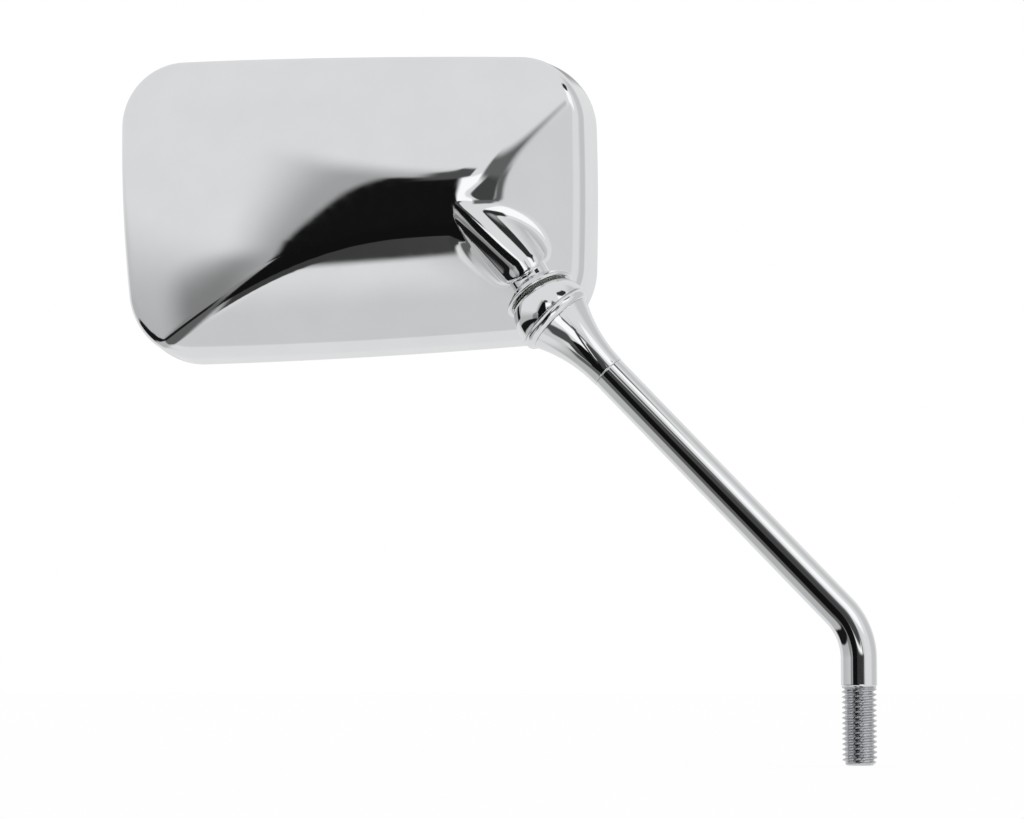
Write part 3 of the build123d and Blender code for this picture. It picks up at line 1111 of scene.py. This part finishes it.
    def falls(self, x: np.ndarray, z: np.ndarray) -> tuple[np.ndarray, np.ndarray]:
        """Measures the fall along the ridge, and how far the dome's side has turned.

        Args:
            x: Places to the right.
            z: Places up.

        Returns:
            The fall along the ridge and the turn across it.
        """
        slant = math.radians(self.ridge_rise)
        from_x = x + self.summit[0]
        from_z = z - self.summit[1]
        along = from_x * math.cos(slant) + from_z * math.sin(slant)
        across = from_z * math.cos(slant) - from_x * math.sin(slant)
        end_fall = np.minimum(along, 0) ** 2 / (2 * self.ridge_radius)
        side_turn = np.sqrt(np.maximum(across, 0) ** 2 + self.dome_round**2) - self.dome_round
        return end_fall, side_turn

    def crown(self, x: np.ndarray, z: np.ndarray) -> np.ndarray:
        """Gives the crown's height above the mouth.

        Args:
            x: Places to the right.
            z: Places up.

        Returns:
            Heights, as the softened smallest of dome, top side, right side and scoop.
        """
        end_fall, side_turn = self.falls(x, z)
        heights = np.stack(
            [
                self.summit_height - np.sqrt(end_fall**2 + (self.dome_slope * side_turn) ** 2),
                self.top_edge + self.top_slope * (self.top_left - z),
                self.right_edge + self.right_slope * (self.right - x),
                self.depth - self.scoop_depth + (x**2 + z**2) / (2 * self.scoop_radius),
            ]
        )
        least = heights.min(axis=0)
        return least - self.blend * np.log(np.exp((least - heights) / self.blend).sum(axis=0))

    def roof(self, x: np.ndarray, z: np.ndarray, h: np.ndarray, drop: float) -> np.ndarray:
        """Measures the distance from crown and facet, lowered by a drop.

        Args:
            x: Places to the right.
            z: Places up.
            h: Heights above the mouth.
            drop: How far below the outer skin.

        Returns:
            Distances, negative inside.
        """
        nudge = 0.05
        height = self.crown(x, z)
        slope_x = (self.crown(x + nudge, z) - height) / nudge
        slope_z = (self.crown(x, z + nudge) - height) / nudge
        dome = (h - height) / np.sqrt(1 + slope_x**2 + slope_z**2) + drop
        rise = (x + self.left_bottom) * self.facet_up[0] + (z + self.bottom_left) * self.facet_up[1]
        bulge = np.hypot(rise - self.facet_centre[0], h - self.facet_centre[1])
        return round_max(dome, bulge - self.facet_radius + drop, self.facet_crease)

    def neck_share(self, along: np.ndarray) -> np.ndarray:
        """Gives how far places on the neck's axis are from its start, 1 being its root."""
        return (along - self.neck_start) / (self.neck_root - self.neck_start)

    def neck(self, x: np.ndarray, z: np.ndarray, h: np.ndarray) -> tuple[np.ndarray, np.ndarray]:
        """Measures places against the neck.

        Args:
            x: Places to the right.
            z: Places up.
            h: Heights above the mouth.

        Returns:
            The distance from the neck's skin, and how far along its axis each place is.
        """
        out = h - self.depth
        along = x * self.neck_axis[0] + z * self.neck_axis[1] + out * self.neck_axis[2]
        grown = self.neck_share(along)
        reach = np.clip(grown, 0, 1)
        swing, lift = (way * reach**2 for way in self.neck_bend)
        across = x * self.neck_right[0] + z * self.neck_right[1] + swing
        above = x * self.neck_up[0] + z * self.neck_up[1] + out * self.neck_up[2] - lift
        lean = self.neck_lean * (1 - (1 - reach) ** 3)
        raised = above + lean * across
        away = np.hypot(across, raised) + ON_AXIS
        steep = np.hypot(across + lean * raised, raised) / away
        radius = (self.neck_diameter + (self.neck_root_diameter - self.neck_diameter) * grown) / 2
        return (away - radius) / steep, along

    def neck_end(self, x: np.ndarray, z: np.ndarray, h: np.ndarray) -> np.ndarray:
        """Measures how far places lie before the neck's slanting end.

        Args:
            x: Places to the right.
            z: Places up.
            h: Heights above the mouth.

        Returns:
            Distances, negative on the neck's side.
        """
        dip = math.radians(self.neck_end_dip)
        flat = np.array(self.neck_axis[:2]) / np.linalg.norm(self.neck_axis[:2])
        facing = np.array((flat[0] * math.cos(dip), flat[1] * math.cos(dip), -math.sin(dip)))
        start = self.neck_axis * self.neck_start
        out = h - self.depth
        return -((x - start[0]) * facing[0] + (z - start[1]) * facing[1] + (out - start[2]) * facing[2])

    def body(self, places: np.ndarray) -> np.ndarray:
        """Measures the distance from walls, crown, facet and rim, without the neck.

        Args:
            places: Places as x, z and h, one row each.

        Returns:
            Distances, negative inside.
        """
        x, z, h = places.T
        closed = round_max(self.side(x, z, h), self.roof(x, z, h, 0.0), self.shoulder)
        return round_max(closed, -h, self.rim_edge)

    def tube(self, places: np.ndarray) -> np.ndarray:
        """Measures the distance from the neck, closed at both ends.

        Args:
            places: Places as x, z and h, one row each.

        Returns:
            Distances, negative inside.
        """
        x, z, h = places.T
        away, along = self.neck(x, z, h)
        capped = round_max(away, along - self.neck_root, self.neck_cap)
        return round_max(capped, self.neck_end(x, z, h), self.neck_edge)

    def skin(self, places: np.ndarray) -> np.ndarray:
        """Measures the distance from the shell's outer skin.

        Args:
            places: Places as x, z and h, one row each.

        Returns:
            Distances, negative inside it, with a fillet between neck and crown.
        """
        body, tube = self.body(places), self.tube(places)
        joined = np.minimum(body, tube)
        near = (body < self.neck_fillet) & (tube < self.neck_fillet) & (joined > -self.neck_fillet)
        spots, body, tube = places[near], body[near], tube[near]
        reach = np.clip(self.neck_share(self.neck(*spots.T)[1]), 0, 1)
        whole = np.minimum(reach / self.fillet_full, 1)
        radius = self.neck_fillet * (self.fillet_least + (1 - self.fillet_least) * whole)
        likeness = (slopes(self.body, spots) * slopes(self.tube, spots)).sum(axis=1)
        likeness = likeness.clip(*self.fillet_range)
        first, second = radius - body, radius - tube
        within = (first > likeness * second) & (second > likeness * first)
        from_middle = (first**2 + second**2 - 2 * likeness * first * second) / (1 - likeness**2)
        joined[near] = np.where(within, radius - np.sqrt(np.maximum(from_middle, 0)), joined[near])
        return joined

    def hollow(self, places: np.ndarray) -> np.ndarray:
        """Measures the distance from the shell's hollow.

        Args:
            places: Places as x, z and h, one row each.

        Returns:
            Distances, positive inside it.
        """
        x, z, h = places.T
        rim = self.outline(x, z) + self.wall + self.bezel
        opening = round_max(rim, np.abs(h) - 3 * self.wall, self.opening_edge)
        inside = round_max(self.side(x, z, h) + self.wall, self.roof(x, z, h, self.wall), self.shoulder)
        inside = np.maximum(inside, self.wall - h)
        tube, along = self.neck(x, z, h)
        bore = np.maximum(np.maximum(tube, along - self.neck_root) + self.neck_wall, self.wall - h)
        bore = np.maximum(bore, self.neck_start / 2 - along)
        return -np.minimum(round_min(inside, opening, self.hollow_edge), bore)


def unit_rows(rows: np.ndarray) -> np.ndarray:
    """Scales each row to a length of 1."""
    return rows / np.linalg.norm(rows, axis=1)[:, None]


def quad_edges(quads: np.ndarray) -> np.ndarray:
    """Lists the four edges of each four-sided face, as pairs of point numbers."""
    return np.concatenate([quads[:, [side, (side + 1) % 4]] for side in range(4)])


def neighbour_mean(values: np.ndarray, quads: np.ndarray) -> np.ndarray:
    """Averages the values of each point's neighbours in a net.

    Args:
        values: One row for each point.
        quads: The net's faces.

    Returns:
        The mean of the neighbours' rows.
    """
    links = quad_edges(quads)
    links = np.concatenate([links, links[:, ::-1]])
    count = np.maximum(np.bincount(links[:, 0], minlength=len(values)), 1)
    sums = [np.bincount(links[:, 0], values[links[:, 1], axis], len(values)) for axis in range(3)]
    return np.stack(sums, axis=1) / count[:, None]


@dataclass
class Net:
    """Even net of points drawn over a skin that is given as distances.

    Attributes:
        distance: Gives the distance from the skin for rows of places.
        low: Lowest corner of the space to search, as x, z and h.
        high: Highest corner of it.
        pitch: Spacing of the net, in mm.
        polish: How many times the skin's directions are evened out.
        rim_pulls: How many times a cut edge is pulled onto both skins.
        sweeps: How many times the net is pulled onto its skin.
        evened: How many of those times it is evened out first.
        longest: Longest pull, as a share of the slope's length.
        flattest: Least square of a slope's length that a pull reckons with.
    """

    distance: Callable[[np.ndarray], np.ndarray]
    low: tuple[float, float, float]
    high: tuple[float, float, float]
    pitch: float
    polish: int = 3
    rim_pulls: int = 8
    sweeps: int = 6
    evened: int = 2
    longest: float = 0.4
    flattest: float = 0.25

    def levels(self, rulers: list[np.ndarray]) -> np.ndarray:
        """Measures the distance from the skin all over the space.

        Args:
            rulers: The marks along x, z and h.

        Returns:
            A distance for each place where marks cross.
        """
        z, h = np.meshgrid(rulers[1], rulers[2], indexing="ij")
        level = np.empty([len(ruler) for ruler in rulers])
        for column, x in enumerate(rulers[0]):
            places = np.stack([np.full(z.size, x), z.ravel(), h.ravel()], axis=1)
            level[column] = self.distance(places).reshape(z.shape)
        return level

    def draw(self) -> tuple[np.ndarray, np.ndarray]:
        """Draws the net over the whole skin.

        Returns:
            Its points and its four-sided faces.
        """
        counts = [round((top - start) / self.pitch) for start, top in zip(self.low, self.high)]
        rulers = [start + self.pitch * np.arange(count + 1) for start, count in zip(self.low, counts)]
        level = self.levels(rulers)
        inside = level < 0
        total = np.zeros([*counts, 3])
        crossings = np.zeros(counts)
        edges = []
        for axis in range(3):
            ahead = np.roll(inside, -1, axis)
            edge = inside != ahead
            edge[tuple(slice(None) if a != axis else -1 for a in range(3))] = False
            cells = np.argwhere(edge)
            first = level[tuple(cells.T)]
            cells_ahead = cells.copy()
            cells_ahead[:, axis] += 1
            second = level[tuple(cells_ahead.T)]
            spot = cells.astype(float)
            spot[:, axis] += first / (first - second)
            others = [a for a in range(3) if a != axis]
            around = []
            for shift in ((-1, -1), (0, -1), (0, 0), (-1, 0)):
                cell = cells.copy()
                cell[:, others[0]] += shift[0]
                cell[:, others[1]] += shift[1]
                np.add.at(total, tuple(cell.T), spot)
                np.add.at(crossings, tuple(cell.T), 1)
                around.append(cell)
            edges.append((around, first < 0, axis))
        held = crossings > 0
        number = np.full(counts, -1)
        number[held] = np.arange(held.sum())
        points = np.array(self.low) + self.pitch * total[held] / crossings[held][:, None]
        faces = []
        for around, outward, axis in edges:
            quads = np.stack([number[tuple(cell.T)] for cell in around], axis=1)
            flip = outward if axis == 1 else ~outward
            quads[flip] = quads[flip][:, ::-1]
            faces.append(quads)
        quads = np.concatenate(faces)
        return self.ease(points, quads), quads

    def cut(self, other: "Net") -> tuple[np.ndarray, np.ndarray, np.ndarray]:
        """Draws the net and cuts off what lies outside another skin.

        Args:
            other: The net of the other skin.

        Returns:
            The points that are left, their faces and the skin's direction at each point.
        """
        points, quads = self.draw()
        quads = quads[(other.distance(points) < 0)[quads].all(axis=1)]
        kept, quads = np.unique(quads, return_inverse=True)
        points, quads = points[kept], quads.reshape(-1, 4)
        links, uses = np.unique(np.sort(quad_edges(quads), axis=1), axis=0, return_counts=True)
        rim = np.unique(links[uses == 1])
        for _ in range(self.rim_pulls):
            for skin in (other, self):
                points[rim] -= skin.pull(points[rim])
        facing = unit_rows(slopes(self.distance, points))
        for _ in range(self.polish):
            facing = (facing + neighbour_mean(facing, quads)) / 2
        return points, quads, unit_rows(facing)

    def pull(self, points: np.ndarray) -> np.ndarray:
        """Finds the step that takes each point away from the skin.

        Args:
            points: Points near the skin.

        Returns:
            One step for each point.
        """
        slope = slopes(self.distance, points)
        steep = np.maximum((slope**2).sum(axis=1), self.flattest)
        return slope * np.clip(self.distance(points) / steep, -self.longest, self.longest)[:, None]

    def ease(self, points: np.ndarray, quads: np.ndarray) -> np.ndarray:
        """Evens the net out and pulls it onto the skin.

        Args:
            points: The net's points.
            quads: Its faces.

        Returns:
            The points on the skin.
        """
        for sweep in range(self.sweeps):
            if sweep < self.evened:
                points = (points + neighbour_mean(points, quads)) / 2
            points = points - self.pull(points)
        return points


@dataclass
class Head:
    """Pressed shell, rubber channel and glass.

    Attributes:
        form: Form of the shell.
        gap: Assembly gap between the pieces.
        gasket_width: Width of the rubber channel.
        gasket_lip: Thickness of its two lips.
        groove: Depth of its groove.
        glass: Thickness of the glass.
        gasket_edge: Rounding of its edges.
        arris: Ground edge of the glass.
        margin: Room round the outline that the nets search.
        front_room: Room in front of the mouth that they search.
        back_room: Room behind the summit that they search.
        outer_pitch: Spacing of the net over the outer skin.
        inner_pitch: Spacing of the net over the hollow.
        crease: Angle from which edges of channel and glass stay sharp, in degrees.
        steps: Points round the outline.
        rays: Rays to each such point that find the outline.
        halvings: Halvings of a ray's length that find it.
    """

    form: HeadForm
    gap: float = 0.05
    gasket_width: float = 3.2
    gasket_lip: float = 1.2
    groove: float = 1.8
    glass: float = 2.6
    gasket_edge: float = 0.4
    arris: float = 0.25
    margin: float = 2.5
    front_room: float = 5.0
    back_room: float = 10.0
    outer_pitch: float = 0.64
    inner_pitch: float = 1.6
    crease: float = 35.0
    steps: int = 360
    rays: int = 4
    halvings: int = 40

    def in_frame(self, places: np.ndarray) -> np.ndarray:
        """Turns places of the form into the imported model's frame.

        Args:
            places: Places as x, z and h, one row each.

        Returns:
            The same places as X, Y and Z in mm.
        """
        x, z, h = places.T
        return BALL_CENTRE + np.stack([x, self.form.depth - h, z], axis=1)

    def shell(self) -> bpy.types.Object:
        """Nets the pressed shell.

        Returns:
            The shell, with the skin's own directions as its normals.
        """
        form = self.form
        low = (-form.left_top - self.margin, -form.bottom_left - self.margin, -self.front_room)
        high = (form.right + self.margin, form.top_left + self.margin, form.summit_height + self.back_room)
        outer = Net(form.skin, low, high, self.outer_pitch)
        inner = Net(form.hollow, low, high, self.inner_pitch)
        points, quads, facing = outer.cut(inner)
        inner_points, inner_quads, inner_facing = inner.cut(outer)
        quads = np.concatenate([quads, inner_quads + len(points)])
        points = np.concatenate([points, inner_points])
        facing = np.concatenate([facing, inner_facing])
        piece = make_piece("shell", self.in_frame(points), quads.tolist())
        turned = self.in_frame(facing) - self.in_frame(np.zeros_like(facing))
        piece.data.normals_split_custom_set_from_vertices(turned.tolist())
        return piece

    def loop(self) -> tuple[np.ndarray, np.ndarray]:
        """Walks round the outline of the mouth in even steps.

        Returns:
            Points on the outline, and the outward direction at each.
        """
        form = self.form
        middle = np.array(((form.right - form.left_top) / 2, (form.top_left - form.bottom_left) / 2))
        count = self.rays * self.steps
        angles = 2 * math.pi * np.arange(count) / count
        ways = np.stack([np.cos(angles), np.sin(angles)], axis=1)
        near, far = np.zeros(count), np.full(count, form.left_top)
        for _ in range(self.halvings):
            reach = (near + far) / 2
            spots = middle + ways * reach[:, None]
            inside = form.outline(spots[:, 0], spots[:, 1]) < 0
            near = np.where(inside, reach, near)
            far = np.where(inside, far, reach)
        spots = middle + ways * near[:, None]
        closed = np.concatenate([spots, spots[:1]])
        walked = np.concatenate([[0.0], np.cumsum(np.linalg.norm(np.diff(closed, axis=0), axis=1))])
        marks = walked[-1] * np.arange(self.steps) / self.steps
        even = np.stack([np.interp(marks, walked, closed[:, axis]) for axis in range(2)], axis=1)
        nudge = 0.01
        growth = []
        for step in ((nudge, 0.0), (0.0, nudge)):
            growth.append(form.outline(*(even + step).T) - form.outline(*(even - step).T))
        return even, unit_rows(np.stack(growth, axis=1))

    def frame_along(self, name: str, section: list[tuple[float, float]], filled: bool) -> bpy.types.Object:
        """Runs a section round the mouth.

        Args:
            name: The piece's name.
            section: Points as inset from the outline and height above the mouth.
            filled: Whether the section is open, with its two ends closed across the mouth.

        Returns:
            The piece.
        """
        spots, out = self.loop()
        count = len(spots)
        rings = [np.column_stack([spots - out * inset, np.full(count, height)]) for inset, height in section]
        faces = bridge(len(rings), count, closed=not filled)
        piece = make_piece(name, self.in_frame(np.concatenate(rings)), faces, self.crease)
        face_outwards(piece)
        return piece

    def gasket(self) -> bpy.types.Object:
        """Runs the rubber channel round the mouth.

        Returns:
            The channel.
        """
        form = self.form
        lean = math.tan(math.radians(form.draft))
        outside = form.wall + self.gap
        front = form.wall + self.gap
        inside = outside + self.gasket_width
        bottom = inside - self.groove
        low = front + self.gasket_lip
        high = low + self.glass + 2 * self.gap
        back = high + self.gasket_lip
        middle = (outside + lean * (front + back) / 2, (front + back) / 2)
        outline = [
            middle,
            (outside + lean * front, front),
            (inside, front),
            (inside, low),
            (bottom, low),
            (bottom, high),
            (inside, high),
            (inside, back),
            (outside + lean * back, back),
            middle,
        ]
        return self.frame_along("rubber_channel", soften(outline, self.gasket_edge)[:-1], filled=False)

    def pane(self) -> bpy.types.Object:
        """Cuts the glass with its ground edges.

        Returns:
            The glass.
        """
        form = self.form
        inset = form.wall + 2 * self.gap + self.gasket_width - self.groove
        front = form.wall + 2 * self.gap + self.gasket_lip
        back = front + self.glass
        section = [
            (inset + self.arris, front),
            (inset, front + self.arris),
            (inset, back - self.arris),
            (inset + self.arris, back),
        ]
        return self.frame_along("glass", section, filled=True)

    def build(self) -> None:
        """Makes the shell, channel and glass and puts them on the head."""
        settle(self.shell(), Body.HEAD, Slot.SHELL, "head_shell")
        settle(self.gasket(), Body.HEAD, Slot.RUBBER, "glass_gasket")
        settle(self.pane(), Body.HEAD, Slot.MIRROR, "mirror_glass")


class InnerParts:
    """Pieces inside the ball joint, shown as they are packed."""

    DISCS = range(1, 5)
    SLOTS: dict[str, Slot] = {
        "friction_liner": Slot.NYLON,
        "presser_washer": Slot.SPRING,
        "tension_bolt": Slot.ZINC,
        "lock_nut": Slot.ZINC,
    }

    def build(self) -> None:
        """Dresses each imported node."""
        discs = {f"disc_spring_{number}": Slot.SPRING for number in self.DISCS}
        for node, slot in {**self.SLOTS, **discs}.items():
            dress(frame["nodes"][node], slot)
            log.info("%s: dressed as packed", node)


@dataclass(frozen=True)
class Viewpoint:
    """Where the camera stands and looks.

    Attributes:
        place: Its place, in mm.
        azimuth: Its heading about the upright, in degrees.
        elevation: How far it looks down, negative when it looks up, in degrees.
        picture: Width of the picture, in pixels.
        focal: Focal length, in pixels.
        sensor: Width of the sensor, in mm.
    """

    place: tuple[float, float, float] = (82.9, -872.6, 4.3)
    azimuth: float = 12.0
    elevation: float = -5.0
    picture: float = 1024.0
    focal: float = 3000.0
    sensor: float = 36.0

    def axes(self) -> tuple[Vector, Vector, Vector]:
        """Works out how the camera is turned.

        Returns:
            Its right, up and backward directions.
        """
        turn, tilt = math.radians(self.azimuth), math.radians(self.elevation)
        level = math.cos(tilt)
        back = Vector((math.sin(turn) * level, -math.cos(turn) * level, math.sin(tilt)))
        right = Vector((math.cos(turn), math.sin(turn), 0.0))
        return right, back.cross(right), back

    def build(self) -> None:
        """Sets the camera up."""
        camera = bpy.data.cameras.new("camera")
        camera.sensor_width = self.sensor
        camera.lens = self.sensor * self.focal / self.picture
        stand = bpy.data.objects.new("camera", camera)
        turned = Matrix(self.axes()).transposed().to_4x4()
        stand.matrix_world = Matrix.Translation(Vector(self.place) * MM) @ turned
        bpy.context.scene.collection.objects.link(stand)
        bpy.context.scene.camera = stand


@dataclass(frozen=True)
class Card:
    """A card of the light tent, seen from the part as a patch of directions.

    Attributes:
        corners: Its corners anticlockwise, each as degrees across and above the way to the camera.
        soft: Width of its blurred edge, in degrees.
        level: Its brightness.
    """

    corners: tuple[tuple[float, float], ...]
    soft: float
    level: float

    def cover(
        self, desk: NodeDesk, across: bpy.types.NodeSocket, above: bpy.types.NodeSocket
    ) -> bpy.types.NodeSocket:
        """Tells how far the card covers a direction.

        Args:
            desk: The world's nodes.
            across: Degrees across the way to the camera.
            above: Degrees above it.

        Returns:
            A socket from 0 outside the card to 1 on it.
        """
        covered = None
        for start, end in zip(self.corners, self.corners[1:] + self.corners[:1]):
            side = Vector(end) - Vector(start)
            inward = Vector((-side.y, side.x)).normalized()
            past = desk.math("MULTIPLY_ADD", above, inward.y, -inward.dot(Vector(start)))
            past = desk.math("MULTIPLY_ADD", across, inward.x, past)
            edge = desk.step(past, -self.soft / 2, self.soft / 2)
            covered = edge if covered is None else desk.math("MULTIPLY", covered, edge)
        return covered


@dataclass
class Studio:
    """Light tent, floor and camera.

    Attributes:
        view: The camera's viewpoint.
        tent: Brightness of the tent's cloth.
        cards: Cards laid over the cloth in order, each over the ones before it.
        floor_size: Width of the floor, in mm.
        floor_gap: Gap between the part and the floor, in mm.
        floor_colour: The floor's colour.
        floor_glow: Share of plain white in what the camera sees of the floor.
    """

    view: Viewpoint
    tent: float = 0.80
    cards: tuple[Card, ...] = (
        # Dim stretches of cloth, behind the part, beside it and below it
        Card(((169, -8), (186, -8), (186, 22), (169, 22)), 8, 0.40),
        Card(((-186, -8), (-172, -8), (-172, 22), (-186, 22)), 8, 0.40),
        Card(((-125, -62), (-42, -50), (-42, 3), (-125, 3)), 18, 0.50),
        Card(((82, -30), (132, -30), (132, 62), (82, 62)), 20, 0.62),
        Card(((-48, -75), (-14, -75), (-14, -44), (-48, -44)), 14, 0.66),
        Card(((18, 0), (36, 0), (36, 26), (18, 26)), 9, 0.70),
        # Dark cards low on the left, and a grey one above them
        Card(((-64, -14), (-44, -14), (-44, 8), (-52, 8), (-64, 0)), 6, 0.24),
        Card(((-66, -44), (-44, -46), (-44, -12), (-62, -12)), 6, 0.12),
        Card(((-120, -29), (-92, -27), (-66, -20), (-50, -15), (-50, -8), (-80, -10), (-120, -15)), 3, 0.01),
        Card(((-53, 0), (-24, 0), (-24, 40), (-44, 40)), 9, 0.40),
        # White card high on the right
        Card(((40, 6), (54, 6), (60, 40), (52, 55), (16, 55), (9, 36), (28, 30)), 4, 1.10),
        # Dark cards below
        Card(((-38, -48), (-25, -35), (-5, -35), (-5, -8), (-46, -8)), 3, 0.05),
        Card(((-24, -52), (2, -52), (2, -20), (-24, -20)), 6, 0.08),
        # White card in front, and two black ones to its left
        Card(((14, -28), (30, -24), (24, 0), (18, 9), (-11, 9), (-2, -6)), 2.5, 1.12),
        Card(((-46, -22), (-8, -22), (-3, -6), (-14, 12), (-46, 12)), 1.6, 0.006),
        Card(((-48, 5), (-20, 5), (-23, 18), (-29, 37), (-37.5, 36.6)), 1.6, 0.006),
        # Dark cards in front, to the right and above
        Card(((-22, 1), (28, 1), (28, 7), (-14, 7)), 2, 0.04),
        Card(((24, -12), (29, -12), (21, 20), (16, 20)), 3, 0.12),
        Card(((15, 17), (21, 17), (18, 30), (-6, 42), (-8, 30)), 6, 0.13),
        Card(((-35, 35), (-22, 35), (-20, 40), (-30, 43), (-35, 40)), 2, 0.08),
        Card(((-22, 8), (12, 10), (17, 14), (16, 20), (2, 27), (-8, 25), (-20, 20)), 2.5, 0.06),
        # White and dark strips that the neck mirrors
        Card(((-24, 23), (-10, 28), (-9, 33), (-27, 35)), 2, 1.12),
        Card(((17, 60), (46, 51), (62, 56), (74, 62), (64, 70), (17, 68)), 5, 0.03),
    )
    floor_size: float = 6000.0
    floor_gap: float = 0.3
    floor_colour: float = 0.9
    floor_glow: float = 0.93

    def hang_tent(self) -> None:
        """Makes the world: a pale tent with cards, white behind the part."""
        world = bpy.data.worlds.new("light_tent")
        bpy.context.scene.world = world
        world.use_nodes = True
        tree = world.node_tree
        tree.nodes.clear()
        desk = NodeDesk(tree)
        direction = desk.add("TexCoord").outputs["Generated"]
        right, up, back = self.view.axes()
        across = desk.math("ARCTAN2", desk.dot(direction, right), desk.dot(direction, back))
        across = desk.math("DEGREES", across)
        above = desk.math("DEGREES", desk.math("ARCSINE", desk.dot(direction, up)))
        level: object = self.tent
        for card in self.cards:
            cover = card.cover(desk, across, above)
            kept = desk.math("MULTIPLY", desk.math("SUBTRACT", 1.0, cover), level)
            level = desk.math("MULTIPLY_ADD", cover, card.level, kept)
        paper, cloth = desk.add("Background"), desk.add("Background")
        desk.fill(paper, {"Color": WHITE, "Strength": 1.0})
        desk.fill(cloth, {"Color": WHITE, "Strength": level})
        shown = desk.mix(desk.add("LightPath").outputs["Is Glossy Ray"], paper, cloth)
        desk.feed(desk.add("OutputWorld").inputs["Surface"], shown)

    def lay_floor(self) -> None:
        """Lays the pale floor under the part."""
        level = cad_box[0][2] / MM - self.floor_gap
        half = self.floor_size / 2
        ways = ((-1, -1), (1, -1), (1, 1), (-1, 1))
        corners = np.array([(half * x, half * y, level) for x, y in ways])
        floor = make_piece("floor", corners, [(0, 1, 2, 3)])
        floor.visible_glossy = False
        made = bpy.data.materials.new("floor_paper")
        made.use_nodes = True
        tree = made.node_tree
        tree.nodes.clear()
        desk = NodeDesk(tree)
        paper, glow = desk.add("BsdfDiffuse"), desk.add("Emission")
        desk.feed(paper.inputs["Color"], (self.floor_colour,) * 3 + (1.0,))
        seen = desk.math("MULTIPLY", desk.add("LightPath").outputs["Is Camera Ray"], self.floor_glow)
        desk.feed(desk.add("OutputMaterial").inputs["Surface"], desk.mix(seen, paper, glow))
        floor.data.materials.append(made)

    def build(self) -> None:
        """Hangs the tent, lays the floor and sets the camera up."""
        bpy.context.scene.view_settings.view_transform = "Standard"
        self.hang_tent()
        self.lay_floor()
        self.view.build()


def main() -> None:
    """Builds the sub-assemblies in order."""
    logging.basicConfig(level=logging.INFO, format="%(name)s: %(message)s")
    stem = Stem()
    stem.dull_thread(settle(stem.build(), Body.STEM, Slot.STEM, "stem_rod"))
    BallJoint(stem.direction).build()
    Head(HeadForm()).build()
    InnerParts().build()
    Studio(Viewpoint()).build()


if __name__ == "__main__":
    main()
